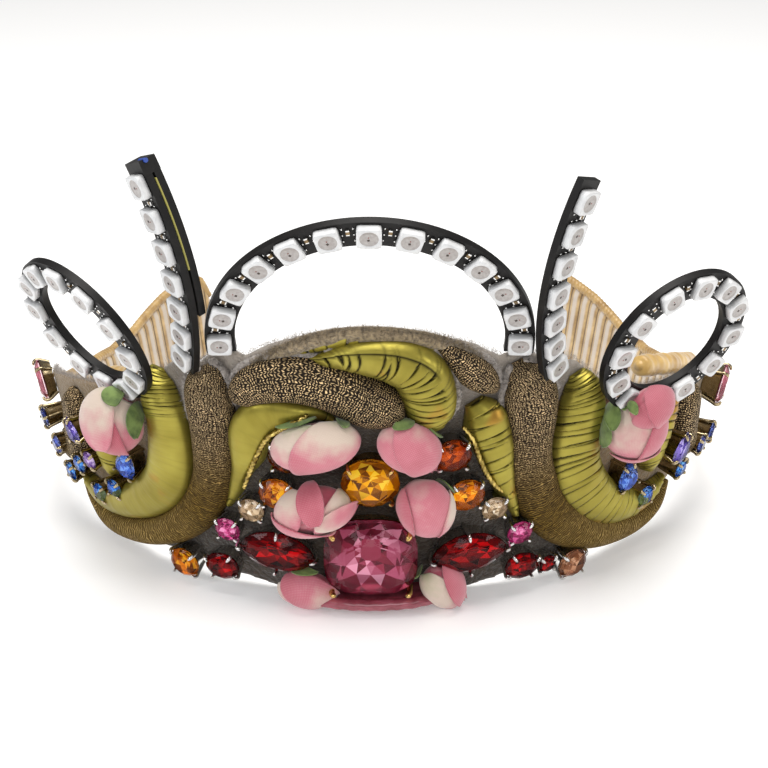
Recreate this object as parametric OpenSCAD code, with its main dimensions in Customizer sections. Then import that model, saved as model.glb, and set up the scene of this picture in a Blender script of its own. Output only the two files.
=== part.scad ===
// A padded diadem: a flared, felt-backed front carries scrolls of knitted lame and gathered
// foil, fabric rosebuds and cut stones in claw settings. Five strips of square light modules
// stand up from it: an arch, two curved spikes and two loops. Ribbed satin legs run back.
// +X is to the wearer's left as seen from the front, the front faces -Y, and +Z is up.

/* [Head ring] */
// Half width of the ring at its rim, to the right of its middle as seen from the front
ring_right = 78; // [70:0.5:90]
// The same to the left, where the soft ring is a little narrower
ring_left = 74.5; // [70:0.5:90]
// From the widest line of the rim to its front
ring_front = 70; // [60:1:80]
// From the widest line of the rim to the back of the ellipse that the legs follow
ring_back = 82; // [70:1:90]
// Outward flare, in mm for each mm of height
flare = 0.18; // [0.1:0.02:0.24]
// Height of the felt-backed front at its middle
front_h = 70; // [60:1:80]
// Share by which the left end's motifs are drawn towards the middle
left_draw = 0.95; // [0.9:0.01:1]
// Wall of the felt-backed front
felt_wall = 2; // [1.6:0.2:3]
// Angle from the middle to each end of the front
front_end = 80; // [76:1:84]
// Small gap kept between pieces
piece_gap = 0.2; // [0.1:0.05:0.3]

/* [Back legs] */
// Angle from the middle to the rounded back end of each leg
leg_end = 142; // [136:1:146]
// Wall of a leg between two ribs
leg_wall = 1.6; // [1.2:0.2:2.4]
// Relief of the sewn ribs inside a leg
rib_relief = 0.6; // [0.3:0.1:0.9]
// Width of one rib, in degrees of the ring
rib_step = 2.5; // [1.5:0.5:3]
// Diameter of the bound top edge
edge_d = 2.6; // [2:0.2:3.4]

/* [Padding] */
// Half width of the widest lame pad
pad_w = 5.6; // [5:0.2:6.2]
// Height of the thickest pad above the felt
pad_t = 5; // [4:0.25:6]
// Share of a foil pad's height that its gathers cut in
gather_depth = 0.16; // [0.05:0.01:0.25]
// Diameter of the twisted wire along the inner foil leaves
trim_d = 1.1; // [0.8:0.1:1.4]
// Diameter of the pink piping under the big stone
piping_d = 2.6; // [2:0.2:3.2]
// Diameter of the satin rolls behind the loops
roll_d = 5; // [4:0.25:6]

/* [Light strips] */
// Side of a square light module
module_w = 5; // [4.6:0.1:5.2]
// Thickness of a light module
module_t = 1.6; // [1.4:0.1:2]
// Depth of the round lens in a module
lens_depth = 0.3; // [0.2:0.05:0.5]
// Thickness of the black board
board_t = 1.6; // [1.2:0.1:2]
// Width of the black board
board_w = 6.2; // [5.6:0.1:6.8]
// Radius of the arch through the module centres
arch_r = 31; // [28:0.5:34]
// Radius of a loop through the module centres
loop_r = 15.5; // [14.5:0.25:17]
// Radius of a curved spike through the module centres
spike_r = 58; // [50:1:66]
// Distance between two modules of a spike
spike_pitch = 7.2; // [6.6:0.1:7.6]

/* [Stones] */
// Width of the square cushion stone
cushion_w = 20.5; // [18:0.5:21]
// Diameter of the citrine
citrine_d = 12.6; // [11:0.2:13.4]
// Diameter of the amber stones
amber_d = 8.2; // [7.4:0.2:8.6]
// Diameter of the champagne stones
champagne_d = 6; // [5.4:0.2:6.6]
// Length of the two long red stones
navette_l = 17; // [15:0.5:17.5]
// Width of the two long red stones
navette_w = 10.5; // [9:0.5:11]
// Diameter of the small pink stones
pink_d = 6; // [5.4:0.2:6.4]
// Length of the red ovals
ruby_l = 8.4; // [7.6:0.2:8.8]
// Length of the pear stones at the sides
pear_l = 8.4; // [7.6:0.2:9]
// Diameter of the small blue stones
blue_d = 4.4; // [4:0.2:4.8]
// Length of the pink ovals at the ends
end_oval_l = 11; // [9:0.5:12]
// Thickness of a claw
claw_t = 0.8; // [0.6:0.1:1]

/* [Rosebuds] */
// Length of the largest rosebud
bud_l = 17; // [15:0.5:18]
// Width of a green sepal
sepal_w = 5; // [4:0.5:6]

/* [Hidden] */
$fn = 48;

// Levels of a cut stone above and below its girdle, as shares of its width
table_up = 0.17;
girdle_down = 0.04;
foot_down = 0.2;
// Width of its table and of its foot, and of the plate under it, as shares of its width
table_wide = 0.62;
foot_wide = 0.5;
plate_wide = 0.72;
// Top and underside of a claw's hook, as shares of the height of the table
hook_top = 0.82;
hook_low = 0.62;

// Stones with nodes of their own: angle on the ring, height as a share of front_h,
// stand-off of the girdle as a share of pad_t, cut, length, width, turn, metal
STONES = [
    ["stone_cushion", 0, 0.217, 1.3, "cushion", cushion_w, cushion_w, 0, "gold"],
    ["stone_citrine", 0, 0.5, 1.1, "round", citrine_d, citrine_d, 0, "gold"],
    ["stone_dark_amber_left", -11.9, 0.578, 0.95, "round", amber_d, amber_d, 0, "silver"],
    ["stone_dark_amber_right", 11.2, 0.585, 0.95, "round", amber_d, amber_d, 0, "silver"],
    ["stone_amber_left", -13.8, 0.433, 0.95, "round", amber_d, amber_d, 0, "silver"],
    ["stone_amber_right", 13.6, 0.43, 0.95, "round", amber_d, amber_d, 0, "silver"],
    ["stone_champagne_left", -18.3, 0.352, 0.85, "round", champagne_d, champagne_d, 0, "silver"],
    ["stone_champagne_right", 18.2, 0.36, 0.85, "round", champagne_d, champagne_d, 0, "silver"],
    ["stone_navette_left", -14.5, 0.21, 1.1, "navette", navette_l, navette_w, -6, "silver"],
    ["stone_navette_right", 14.6, 0.205, 1.1, "navette", navette_l, navette_w, 6, "silver"],
    ["stone_pink_left", -22.8, 0.258, 0.85, "round", pink_d, pink_d, 0, "silver"],
    ["stone_pink_right", 22.8, 0.245, 0.85, "round", pink_d, pink_d, 0, "silver"],
    ["stone_ruby_left", -24.6, 0.105, 0.95, "oval", ruby_l, ruby_l * 0.85, 12, "silver"],
    ["stone_ruby_right", 23.8, 0.11, 0.95, "oval", ruby_l, ruby_l * 0.85, -12, "silver"],
    ["stone_end_left", -32, 0.078, 0.95, "round", amber_d * 0.92, amber_d * 0.92, 0, "silver"],
    ["stone_end_right", 33.4, 0.065, 0.95, "round", amber_d * 0.92, amber_d * 0.92, 0, "silver"],
    ["stone_small_red", 28.8, 0.085, 0.8, "round", blue_d, blue_d, 0, "silver"]
];

// Stones of the left and right clusters, with the same columns after the tint
SIDE_STONES_LEFT = [
    ["pear", -40.8, 0.41, 0.95, "pear", pear_l, pear_l * 0.72, 70, "copper"],
    ["blue", -50.6, 0.218, 0.9, "round", blue_d * 1.1, blue_d * 1.1, 0, "copper"],
    ["blue", -45.6, 0.275, 0.9, "round", blue_d * 1.1, blue_d * 1.1, 0, "copper"],
    ["purple", -52.7, 0.452, 1.2, "pear", pear_l * 0.82, pear_l * 0.58, 110, "copper"],
    ["lilac", -50.4, 0.352, 1.05, "round", blue_d, blue_d, 0, "copper"],
    ["blue", -54.7, 0.3, 1.05, "round", blue_d, blue_d, 0, "copper"],
    ["blue", -59.6, 0.228, 1.05, "round", blue_d, blue_d, 0, "copper"],
    ["navy", -63.4, 0.3, 1.1, "oval", blue_d * 1.2, blue_d, 50, "copper"],
    ["navy", -67.6, 0.37, 1.1, "oval", blue_d * 1.2, blue_d, 60, "copper"],
    ["oval", -73.5, 0.455, 0.6, "oval", end_oval_l, end_oval_l * 0.62, 90, "copper"]
];
SIDE_STONES_RIGHT = [
    ["pear", 41.8, 0.355, 0.95, "pear", pear_l, pear_l * 0.72, 105, "copper"],
    ["blue", 47.6, 0.23, 0.95, "round", blue_d * 1.2, blue_d * 1.2, 0, "copper"],
    ["purple", 54.2, 0.37, 1.2, "pear", pear_l, pear_l * 0.72, 75, "copper"],
    ["blue", 57.2, 0.26, 1.05, "round", blue_d, blue_d, 0, "copper"],
    ["navy", 64.5, 0.29, 1.1, "round", blue_d, blue_d, 0, "copper"],
    ["navy", 72, 0.27, 1.1, "oval", blue_d * 1.2, blue_d, 50, "copper"],
    ["oval", 73.5, 0.44, 0.95, "oval", end_oval_l, end_oval_l * 0.62, 90, "copper"]
];

// Rosebuds: name, angle, height as a share of front_h, stand-off as a share of pad_t,
// length and thickness as shares of bud_l, direction of the tip, petals round the bud
BUDS = [
    ["bud_top_left", -7.7, 0.64, 1.2, 1.05, 0.6, 195, 3],
    ["bud_top_right", 4.9, 0.64, 1.25, 0.76, 0.58, -30, 3],
    ["bud_mid_left", -8.1, 0.414, 1.5, 0.95, 0.62, 200, 3],
    ["bud_mid_right", 7.6, 0.42, 1.45, 0.76, 0.64, -70, 3],
    ["bud_low_left", -10.2, 0.08, 1.15, 0.72, 0.46, 185, 2],
    ["bud_low_right", 10.6, 0.095, 1.2, 0.66, 0.5, -60, 2],
    ["bud_side_left", -38.4, 0.612, 1.6, 0.82, 0.74, -70, 3],
    ["bud_side_right", 37.8, 0.598, 1.65, 0.86, 0.8, -80, 3],
    ["bud_side_right", 37.6, 0.69, 2.3, 0.6, 0.5, 30, 2]
];
BUD_NAMES = [for (k = [0:len(BUDS) - 1]) if (k == 0 || BUDS[k][0] != BUDS[k - 1][0]) BUDS[k][0]];

// Strips that aren't centred, by their first module or their centre: side, angle, height as a
// share of front_h, stand-off as a share of pad_t, turn, forward lean, slant of the first module
SPIKES = [
    ["left", -25.9, 0.89, 1.1, -50, 14.5, 27],
    ["right", 24.8, 0.861, 1.1, 46, 14.5, 30]
];
LOOPS = [
    ["left", -41.2, 0.901, 1.68, -45, 24, -4.5],
    ["right", 40.6, 0.879, 2.35, 32.5, 19, 25]
];
spike_modules = 7;
spike_step = spike_pitch / spike_r * 180 / PI;
// Ends of a spike's board and of its folded tail, and the length of the fold, in modules
spike_low = -0.45;
spike_top = spike_modules - 0.4;
fold_end = 1.8;
fold_cap = 0.35;
// Space between a folded strip and its tail, and the lap of the fold over both
fold_gap = 0.3 * board_t;
fold_lap = 0.06;
loop_modules = 12;
arch_modules = 13;
arch_lean = 24;
// Angle by which the arch's board runs on past its lowest modules
arch_over = (board_w / 2 + piece_gap) / arch_r * 180 / PI;
// Height of the arch's centre, as a share of front_h, and its stand-off, of pad_t
arch_up = 0.943;
arch_out = 0.65;

// Top and lower outline of the felt-backed front: angle, share of front_h
FRONT_TOP = [
    [0, 1.012], [8, 0.99], [14, 0.945], [18, 0.89], [21, 0.92], [24, 0.87], [26.5, 0.82], [29, 0.85],
    [32, 0.79], [37, 0.71], [44, 0.655], [52, 0.62], [60, 0.575], [68, 0.52], [75, 0.47], [84, 0.41]
];
FRONT_LOW = [
    [0, 0], [13, 0], [20, 0.03], [27, 0.06], [34, 0.07], [42, 0.06], [49, 0.045], [55, 0.07],
    [60, 0.13], [66, 0.17], [74, 0.19], [84, 0.19]
];

// Top and lower outline of the legs: angle, share of front_h
LEG_TOP = [
    [80, 0.435], [90, 0.34], [100, 0.28], [112, 0.245], [120, 0.26], [130, 0.33], [137, 0.365],
    [140, 0.34], [142, 0.24], [146, 0.24]
];
LEG_LOW = [
    [80, 0.17], [88, 0.15], [98, 0.08], [108, 0.03], [118, 0], [136, 0], [140, 0.02], [142, 0.08],
    [146, 0.08]
];

// Pads, from one tip to the other: angle, height as a share of front_h, half width as a
// share of pad_w, thickness as a share of pad_t. SIDE_FOIL and SIDE_LAME are the right ones.
COLUMN_LEFT = [
    [-23.8, 0.85, 0.24, 0.2], [-23.4, 0.832, 0.6, 0.7], [-23.6, 0.78, 0.87, 0.95], [-23.8, 0.725, 0.94, 1],
    [-23.9, 0.651, 0.89, 1], [-24.1, 0.578, 0.84, 1], [-24.5, 0.497, 0.82, 0.95], [-25.4, 0.416, 0.8, 0.95],
    [-27.4, 0.332, 0.78, 0.95], [-30.6, 0.249, 0.76, 0.95], [-35.7, 0.171, 0.66, 0.95], [-43, 0.11, 0.56, 0.9],
    [-51, 0.078, 0.5, 0.8], [-58, 0.1, 0.36, 0.65], [-63, 0.14, 0.14, 0.3]
];
COLUMN_RIGHT = [
    [20, 0.875, 0.21, 0.2], [20.5, 0.851, 0.5, 0.7], [21.6, 0.804, 0.86, 0.95], [22.6, 0.737, 1, 1],
    [23.2, 0.656, 0.92, 1], [23.4, 0.581, 0.83, 1], [23.9, 0.502, 0.82, 0.95], [24.9, 0.428, 0.86, 0.95],
    [26.9, 0.334, 0.9, 0.95], [29.3, 0.264, 0.92, 0.95], [32.8, 0.2, 0.88, 0.95], [37.4, 0.145, 0.76, 0.95],
    [43, 0.112, 0.62, 0.9], [49.5, 0.1, 0.5, 0.85], [55.5, 0.12, 0.36, 0.7], [60.5, 0.165, 0.14, 0.3]
];
CRESCENT_LEFT = [
    [-32.4, 0.803, 0.25, 0.3], [-32.6, 0.766, 0.6, 0.85], [-32.2, 0.716, 0.74, 1.05], [-31.9, 0.667, 0.84, 1.1],
    [-31.6, 0.609, 0.88, 1.1], [-31.8, 0.538, 0.94, 1.1], [-32.5, 0.459, 0.98, 1.1], [-33.9, 0.386, 0.97, 1.1],
    [-36.9, 0.315, 0.92, 1.05], [-41.5, 0.25, 0.82, 1], [-47.3, 0.2, 0.7, 0.95], [-54, 0.17, 0.52, 0.8],
    [-59, 0.18, 0.3, 0.55], [-62, 0.2, 0.12, 0.3]
];
CRESCENT_RIGHT = [
    [29.8, 0.794, 0.28, 0.3], [30.4, 0.766, 0.56, 0.85], [31.1, 0.706, 0.84, 1.05], [31.2, 0.628, 0.95, 1.1],
    [31.2, 0.553, 0.97, 1.1], [31.6, 0.47, 1, 1.1], [33.2, 0.385, 1.03, 1.1], [36, 0.31, 1, 1.05],
    [39.6, 0.25, 0.92, 1], [44, 0.21, 0.78, 0.95], [49, 0.19, 0.6, 0.8], [54, 0.2, 0.35, 0.6],
    [57, 0.22, 0.12, 0.3]
];
SCROLL = [
    [-19.6, 0.739, 0.2, 0.4], [-18.6, 0.764, 0.54, 0.8], [-16.4, 0.805, 0.76, 1], [-13.5, 0.832, 0.88, 1],
    [-9.9, 0.842, 0.94, 1], [-6.4, 0.828, 0.95, 1.05], [-3.1, 0.803, 0.98, 1.15], [-0.4, 0.775, 1, 1.3],
    [1.9, 0.751, 0.85, 1.35], [3.4, 0.728, 0.53, 1.2], [4.1, 0.714, 0.17, 0.7]
];
PATCH = [
    [8.3, 0.968, 0.14, 0.2], [10.1, 0.943, 0.3, 0.55], [12.3, 0.897, 0.5, 0.75], [14.2, 0.852, 0.6, 0.85],
    [16, 0.815, 0.46, 0.8], [17.3, 0.79, 0.18, 0.4]
];
HORN = [
    [-8.4, 0.908, 0.14, 0.25], [-5.7, 0.919, 0.33, 0.6], [-3, 0.932, 0.53, 0.95], [0.4, 0.931, 0.74, 1.1],
    [3.2, 0.919, 0.87, 1.2], [5.4, 0.895, 0.93, 1.25], [6.8, 0.858, 0.97, 1.25], [7.6, 0.812, 0.96, 1.25],
    [8, 0.762, 0.92, 1.2], [8.4, 0.709, 0.74, 1.05], [9, 0.672, 0.36, 0.6]
];
LEAF_LEFT = [
    [-5.3, 0.695, 0.11, 0.2], [-7.3, 0.722, 0.23, 0.5], [-9.5, 0.726, 0.33, 0.7], [-12.1, 0.715, 0.54, 0.8],
    [-15.2, 0.69, 0.74, 0.85], [-17.6, 0.628, 0.77, 0.9], [-18.7, 0.547, 0.58, 0.85], [-19.9, 0.48, 0.34, 0.75],
    [-21.4, 0.404, 0.25, 0.55], [-23.2, 0.33, 0.1, 0.3]
];
LEAF_RIGHT = [
    [14.3, 0.75, 0.3, 0.4], [15.7, 0.702, 0.64, 0.85], [16.8, 0.635, 0.68, 0.9], [17.9, 0.566, 0.6, 0.9],
    [18.9, 0.493, 0.48, 0.8], [20.2, 0.419, 0.34, 0.7], [21.7, 0.35, 0.21, 0.5], [22.9, 0.292, 0.12, 0.3]
];
SIDE_FOIL = [
    [50.6, 0.615, 0.15, 0.3], [50.4, 0.58, 0.5, 0.75], [50.2, 0.5, 0.64, 0.9],
    [49.6, 0.41, 0.62, 0.9], [50, 0.34, 0.46, 0.75], [51.6, 0.285, 0.12, 0.3]
];
SIDE_LAME = [
    [59.4, 0.565, 0.2, 0.3], [59.2, 0.525, 0.62, 0.75], [59.4, 0.44, 0.78, 0.9], [61.2, 0.35, 0.74, 0.9],
    [65, 0.285, 0.62, 0.8], [70.6, 0.255, 0.46, 0.65], [76.5, 0.26, 0.15, 0.3]
];

// Rolls and wires: angle, height as a share of front_h, share of the full diameter, and
// stand-off as a share of pad_t
ROLL_RIGHT = [
    [47, 0.69, 1, 0], [53, 0.655, 1, 0], [60, 0.61, 1, 0], [68, 0.55, 1, 0], [76, 0.49, 1, 0]
];
ROLL_LEFT = [
    [-39.5, 0.705, 1, 0], [-44, 0.672, 1, 0], [-49, 0.635, 1, 0], [-54, 0.6, 0.9, 0]
];
PIPING = [
    [-9, 0.055, 0.6, 1.5], [-6, 0.048, 1, 1.6], [0, 0.044, 1, 1.65], [6, 0.048, 1, 1.6],
    [9.5, 0.055, 0.6, 1.5]
];
TRIM_LEFT = [
    [-8.4, 0.735, 0.7, 0.6], [-10, 0.715, 1, 0.8], [-12.3, 0.68, 1, 0.8], [-14.5, 0.64, 1, 0.75],
    [-16.3, 0.57, 1, 0.7], [-17.9, 0.495, 1, 0.65], [-19.1, 0.435, 0.7, 0.6]
];
TRIM_RIGHT = [
    [12.3, 0.69, 0.7, 0.75], [13.8, 0.64, 0.8, 0.72], [15, 0.566, 1, 0.72], [16.4, 0.498, 1, 0.65],
    [18, 0.445, 1, 0.55], [19.3, 0.415, 0.7, 0.5]
];

PARTS = [
    "headband", "leg_left", "leg_right", "lame_column_left", "lame_column_right", "lame_scroll",
    "lame_patch", "lame_side_left", "lame_side_right", "foil_horn", "foil_leaf_left",
    "foil_leaf_right", "foil_crescent_left", "foil_crescent_right", "foil_side_left",
    "foil_side_right", "satin_roll_left", "satin_roll_right", "pink_piping", "leaf_trim_left",
    "leaf_trim_right", "arch_board", "spike_board_left", "spike_board_right", "loop_board_left",
    "loop_board_right", "arch_lights", "spike_lights", "loop_lights", "settings_gold", "settings_silver",
    "settings_copper", "side_stones_left", "side_stones_right"
];

// The flared wall: a point at angle p from the middle, height z and stand-off t
function ring_side(p) = p < 0 ? ring_left : ring_right;
function on_wall(p, z, t = 0) = [
    (ring_side(p) + flare * z + t) * sin(p),
    -((cos(p) > 0 ? ring_front : ring_back) + flare * z + t) * cos(p),
    z
];
function turn_at(p) = atan2(sin(p) * ring_front, cos(p) * ring_side(p));
function mm_per_degree(z) = (ring_right + flare * z) * PI / 180;

// Rows of a table as a smooth curve, at a place s from 0 to 1
function blend4(a, b, c, d, t) = 0.5 * (2 * b + (c - a) * t + (2 * a - 5 * b + 4 * c - d) * t * t
    + (3 * b - a - 3 * c + d) * t * t * t);
function along(rows, s) = let(n = len(rows) - 1, i = min(floor(s * n), n - 1)) blend4(
    rows[max(i - 1, 0)], rows[i], rows[i + 1], rows[min(i + 2, n)], s * n - i);

// A table's row in mm: angle, height, half width and thickness
function in_mm(r, wide = pad_w, thick = pad_t) = [r[0], r[1] * front_h, r[2] * wide, r[3] * thick];
function course(rows, steps, wide = pad_w, thick = pad_t) = [
    for (k = [0:steps]) in_mm(along(rows, k / steps), wide, thick)
];
function mirrored(rows, draw = 1) = [for (r = rows) [-r[0] * draw, r[1], r[2], r[3]]];

// Unit direction across a course at its step k, on the unrolled wall
function across(c, k) = let(
    a = c[max(k - 1, 0)],
    b = c[min(k + 1, len(c) - 1)],
    run = (b[0] - a[0]) * mm_per_degree(c[k][1]),
    rise = b[1] - a[1],
    size = norm([run, rise])
) [-rise / size, run / size];

// A closed skin over rings that all have the same number of points
module skin(rings) {
    n = len(rings[0]);
    last = (len(rings) - 1) * n;
    sides = [
        for (i = [0:len(rings) - 2])
            for (j = [0:n - 1])
                let(a = i * n + j, b = i * n + (j + 1) % n)
                    each [[a, b, b + n], [a, b + n, a + n]]
    ];
    ends = [[for (j = [n - 1:-1:0]) j], [for (j = [0:n - 1]) last + j]];
    polyhedron([for (r = rings) each r], concat(sides, ends));
}

// A domed pad on the wall, plain or gathered by grooves across it
module pad(rows, steps, gathered = false, wide = pad_w, thick = pad_t, base = piece_gap) {
    c = course(rows, steps, wide, thick);
    skin([
        for (k = [0:steps])
            let(
                side = across(c, k),
                deep = gathered && k % 2 == 1 ? 1 - gather_depth : 1
            )
                concat([on_wall(c[k][0], c[k][1], base)],
                    [for (a = [180:-22.5:0])
                        let(off = c[k][2] * cos(a) * (deep + 1) / 2)
                            on_wall(
                                c[k][0] + off * side[0] / mm_per_degree(c[k][1]),
                                c[k][1] + off * side[1],
                                base + c[k][3] * deep * pow(sin(a), 0.75)
                            )
                    ])
    ]);
}

// A round roll or wire on the wall, whose rows stand off from the base t
module roll(rows, steps, d, t, sides = 8) {
    c = course(rows, steps, 1, pad_t);
    skin([
        for (k = [0:steps])
            let(side = across(c, k), r = d / 2 * c[k][2])
                [for (j = [0:sides - 1])
                    let(a = -360 * j / sides)
                        on_wall(
                            c[k][0] + r * cos(a) * side[0] / mm_per_degree(c[k][1]),
                            c[k][1] + r * cos(a) * side[1],
                            t + c[k][3] + r * sin(a)
                        )
                ]
    ]);
}

// Children stand on the wall: x to the side, y up the wall and z straight out of it
module seat(p, z, t, spin = 0) {
    translate(on_wall(p, z, t))
        rotate([atan(flare), 0, turn_at(p)])
            rotate([90, 0, 0])
                rotate([0, 0, spin])
                    children();
}

// Outline of a cut stone, at n points
function cut(kind, l, w, n) = [
    for (k = [0:n - 1])
        let(a = k * 360 / n, r = pow(pow(abs(cos(a)), 3.2) + pow(abs(sin(a)), 3.2), -1 / 3.2))
            kind == "cushion" ? [l / 2 * cos(a) * r, w / 2 * sin(a) * r]
            : kind == "navette" ? [l / 2 * cos(a), w / 2 * sin(a) * pow(abs(sin(a)), 0.3)]
            : kind == "pear" ? [l / 2 * cos(a), w / 2 * 1.2 * sin(a) * pow(abs(sin(a / 2)), 0.8)]
            : [l / 2 * cos(a), w / 2 * sin(a)]
];

// A stone with a table, a faceted crown, a girdle and a faceted foot
module gem(kind, l, w, n = 16) {
    h = n / 2;
    rim = cut(kind, l, w, n);
    flat = cut(kind, l * table_wide, w * table_wide, n);
    foot = cut(kind, l * foot_wide, w * foot_wide, n);
    points = concat(
        [for (k = [0:h - 1]) [flat[2 * k + 1][0], flat[2 * k + 1][1], w * table_up]],
        [for (q = rim) [q[0], q[1], 0]],
        [for (q = rim) [q[0], q[1], -w * girdle_down]],
        [for (k = [0:h - 1]) [foot[2 * k][0], foot[2 * k][1], -w * foot_down]]
    );
    g = h;
    b = h + n;
    f = h + 2 * n;
    crown = [for (k = [0:h - 1]) let(m = (k + 1) % h) each [
        [k, g + 2 * k + 1, g + 2 * k],
        [k, g + (2 * k + 2) % n, g + 2 * k + 1],
        [k, m, g + (2 * k + 2) % n]
    ]];
    girdle = [for (k = [0:n - 1]) let(m = (k + 1) % n) each [
        [g + k, g + m, b + m],
        [g + k, b + m, b + k]
    ]];
    pavilion = [for (k = [0:h - 1]) let(m = (k + 1) % h) each [
        [f + k, b + 2 * k, b + 2 * k + 1],
        [f + k, b + 2 * k + 1, f + m],
        [f + m, b + 2 * k + 1, b + (2 * k + 2) % n]
    ]];
    polyhedron(points, concat(
        [[for (k = [h - 1:-1:0]) k], [for (k = [0:h - 1]) f + k]], crown, girdle, pavilion));
}

// A stone from a row of the tables
module stone(s, n = 16) {
    seat(s[1], s[2] * front_h, s[3] * pad_t, s[7]) gem(s[4], s[5], s[6], n);
}

// Room for a stone and its claws, cut out of the fabric that lies over its rim
module stone_room(s) {
    drop = s[3] * pad_t;
    seat(s[1], s[2] * front_h, drop, s[7])
        translate([0, 0, -drop])
            linear_extrude(drop + s[6] * table_up + piece_gap)
                offset(delta = claw_t + 2 * piece_gap, chamfer = true)
                    polygon(cut(s[4], s[5], s[6], 16));
}

module stones_room(from, to) {
    for (s = concat(STONES, SIDE_STONES_LEFT, SIDE_STONES_RIGHT))
        if (s[1] > from && s[1] < to)
            stone_room(s);
}

// A claw setting: a plate between felt and stone, and hooked claws round the rim
module setting(s) {
    drop = s[3] * pad_t - piece_gap;
    foot = s[6] * foot_down + piece_gap / 2;
    reach = claw_t * 0.6;
    seat(s[1], s[2] * front_h, s[3] * pad_t, s[7]) {
        translate([0, 0, -drop])
            linear_extrude(drop - foot)
                polygon(cut(s[4], s[5] * plate_wide, s[6] * plate_wide, 12));
        for (a = s[4] == "navette" ? [0, 90, 180, 270] : [45:90:315]) {
            rim = cut(s[4], s[5], s[6], 360)[a];
            r = norm(rim) + piece_gap / 2;
            rotate([0, 0, atan2(rim[1], rim[0])])
                translate([0, claw_t / 2, 0])
                    rotate([90, 0, 0])
                        linear_extrude(claw_t)
                            polygon([
                                [r * foot_wide, -drop], [r + claw_t, -drop], [r + claw_t, 0],
                                [r + claw_t * 0.3, s[6] * table_up * hook_top],
                                [r - reach, s[6] * table_up * hook_top],
                                [r - reach, s[6] * table_up * hook_low],
                                [r, piece_gap], [r, -s[6] * girdle_down - piece_gap],
                                [r * foot_wide, -s[6] * foot_down - piece_gap]
                            ]);
        }
    }
}

// Radius of a bud at the share v of its length
function bud_r(v, w) = w / 2 * pow(sin(180 * pow(v, 0.8)), 0.6);

// A green sepal that lies on the bud from its base up
module sepal(l, w) {
    skin([
        for (v = [0.05, 0.16, 0.3, 0.44, 0.56])
            let(
                r = bud_r(v, w) * 0.9,
                up = r + w * 0.11,
                half = sepal_w / 2 * sin(180 * (v + 0.06) / 0.66)
            )
                [[r, half, l * (v - 0.5)], [up, half * 0.6, l * (v - 0.5)],
                 [up, -half * 0.6, l * (v - 0.5)], [r, -half, l * (v - 0.5)]]
    ]);
}

// A rosebud of wrapped petals, with three sepals at its base
module rosebud(l, w, petals) {
    sides = 12;
    skin([
        for (v = [0.02, 0.1, 0.25, 0.45, 0.65, 0.82, 0.95])
            [for (k = [0:sides - 1])
                let(
                    a = k * 360 / sides,
                    lap = 1 + 0.14 * ((a * petals / 360 + v * 0.8) % 1 - 0.5),
                    r = bud_r(v, w) * lap
                )
                    [r * cos(a), -r * sin(a), l * (v - 0.5)]
            ]
    ]);
    for (a = [30:120:270])
        rotate([0, 0, a])
            sepal(l, w);
}

// A bud, or a bunch, gives way to the stones, the loops and the padding round it
module bud(name) {
    color("pink")
        difference() {
            for (b = BUDS)
                if (b[0] == name)
                    seat(b[1], b[2] * front_h, b[3] * pad_t, b[6])
                        rotate([0, 90, 0])
                            rosebud(b[4] * bud_l, b[5] * bud_l, b[7]);
            near = BUDS[search([name], BUDS)[0]][1];
            stones_room(near - 14, near + 14);
            loop_room();
            if (abs(near) > 20)
                sewn_over(near > 0 ? CRESCENT_RIGHT : CRESCENT_LEFT, 14);
            else
                roll(PIPING, 12, piping_d + 2 * piece_gap, 0);
            if (name == "bud_top_right")
                sewn_over(SCROLL, 10);
        }
}

// A strip is placed by the faces of its modules, and its board lies behind them
module in_plane(place, turn, lean) {
    translate(place)
        rotate([lean, 0, turn])
            rotate([90, 0, 0])
                translate([0, 0, -board_t - module_t])
                    children();
}

module light_module() {
    difference() {
        translate([-module_w / 2, -module_w / 2, board_t + piece_gap / 2])
            cube([module_w, module_w, module_t]);
        translate([0, 0, board_t + piece_gap / 2 + module_t - lens_depth])
            cylinder(d = module_w * 0.74, h = module_t);
    }
}

module arc_board(r, from, to, wide = board_w, thick = board_t) {
    rotate([0, 0, from])
        rotate_extrude(angle = to - from, $fn = 120)
            translate([r - wide / 2, 0])
                square([wide, thick]);
}

function strip_place(s) = on_wall(s[1], s[2] * front_h, s[3] * pad_t);

// The arch is centred, and its plane meets the wall where the ends of the arch stand
module arch_frame() {
    foot = on_wall(asin(arch_r / (ring_right + 0.2 * front_h)), arch_up * front_h, arch_out * pad_t);
    in_plane([0, foot[1], foot[2]], 0, arch_lean) children();
}

module flipped(yes) {
    if (yes)
        mirror([1, 0, 0])
            children();
    else
        children();
}

// The circle of a spike has its centre to the outer side, and x points to the first module
module spike_frame(s) {
    in_plane(strip_place(s), s[4], s[5])
        flipped(s[0] == "right")
            translate(spike_r * [-cos(s[6]), sin(s[6]), 0])
                rotate([0, 0, -s[6]])
                    children();
}

// A spike's board, from and to a number of modules past the first one
module spike_arc(from, to, wide = board_w, thick = board_t) {
    arc_board(spike_r, from * spike_step, to * spike_step, wide, thick);
}

module spike_board(s) {
    color("black")
        spike_frame(s) {
            spike_arc(spike_low, spike_top);
            // The left strip is folded over at its top and runs back down behind itself
            if (s[0] == "left") {
                translate([0, 0, -board_t - fold_gap])
                    spike_arc(fold_end, spike_top);
                translate([0, 0, -board_t - fold_gap - fold_lap])
                    spike_arc(spike_top - fold_cap, spike_top + fold_lap, board_w + 2 * fold_lap,
                        2 * (board_t + fold_lap) + fold_gap);
            }
        }
}

module loop_frame(s) {
    in_plane(strip_place(s), s[4], s[5]) children();
}

module loop_board(s) {
    color("black")
        loop_frame(s)
            linear_extrude(board_t)
                difference() {
                    circle(r = loop_r + board_w / 2, $fn = 96);
                    circle(r = loop_r - board_w / 2, $fn = 96);
                }
}

module arch_board() {
    color("black")
        arch_frame()
            arc_board(arch_r, -arch_over, 180 + arch_over);
}

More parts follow.
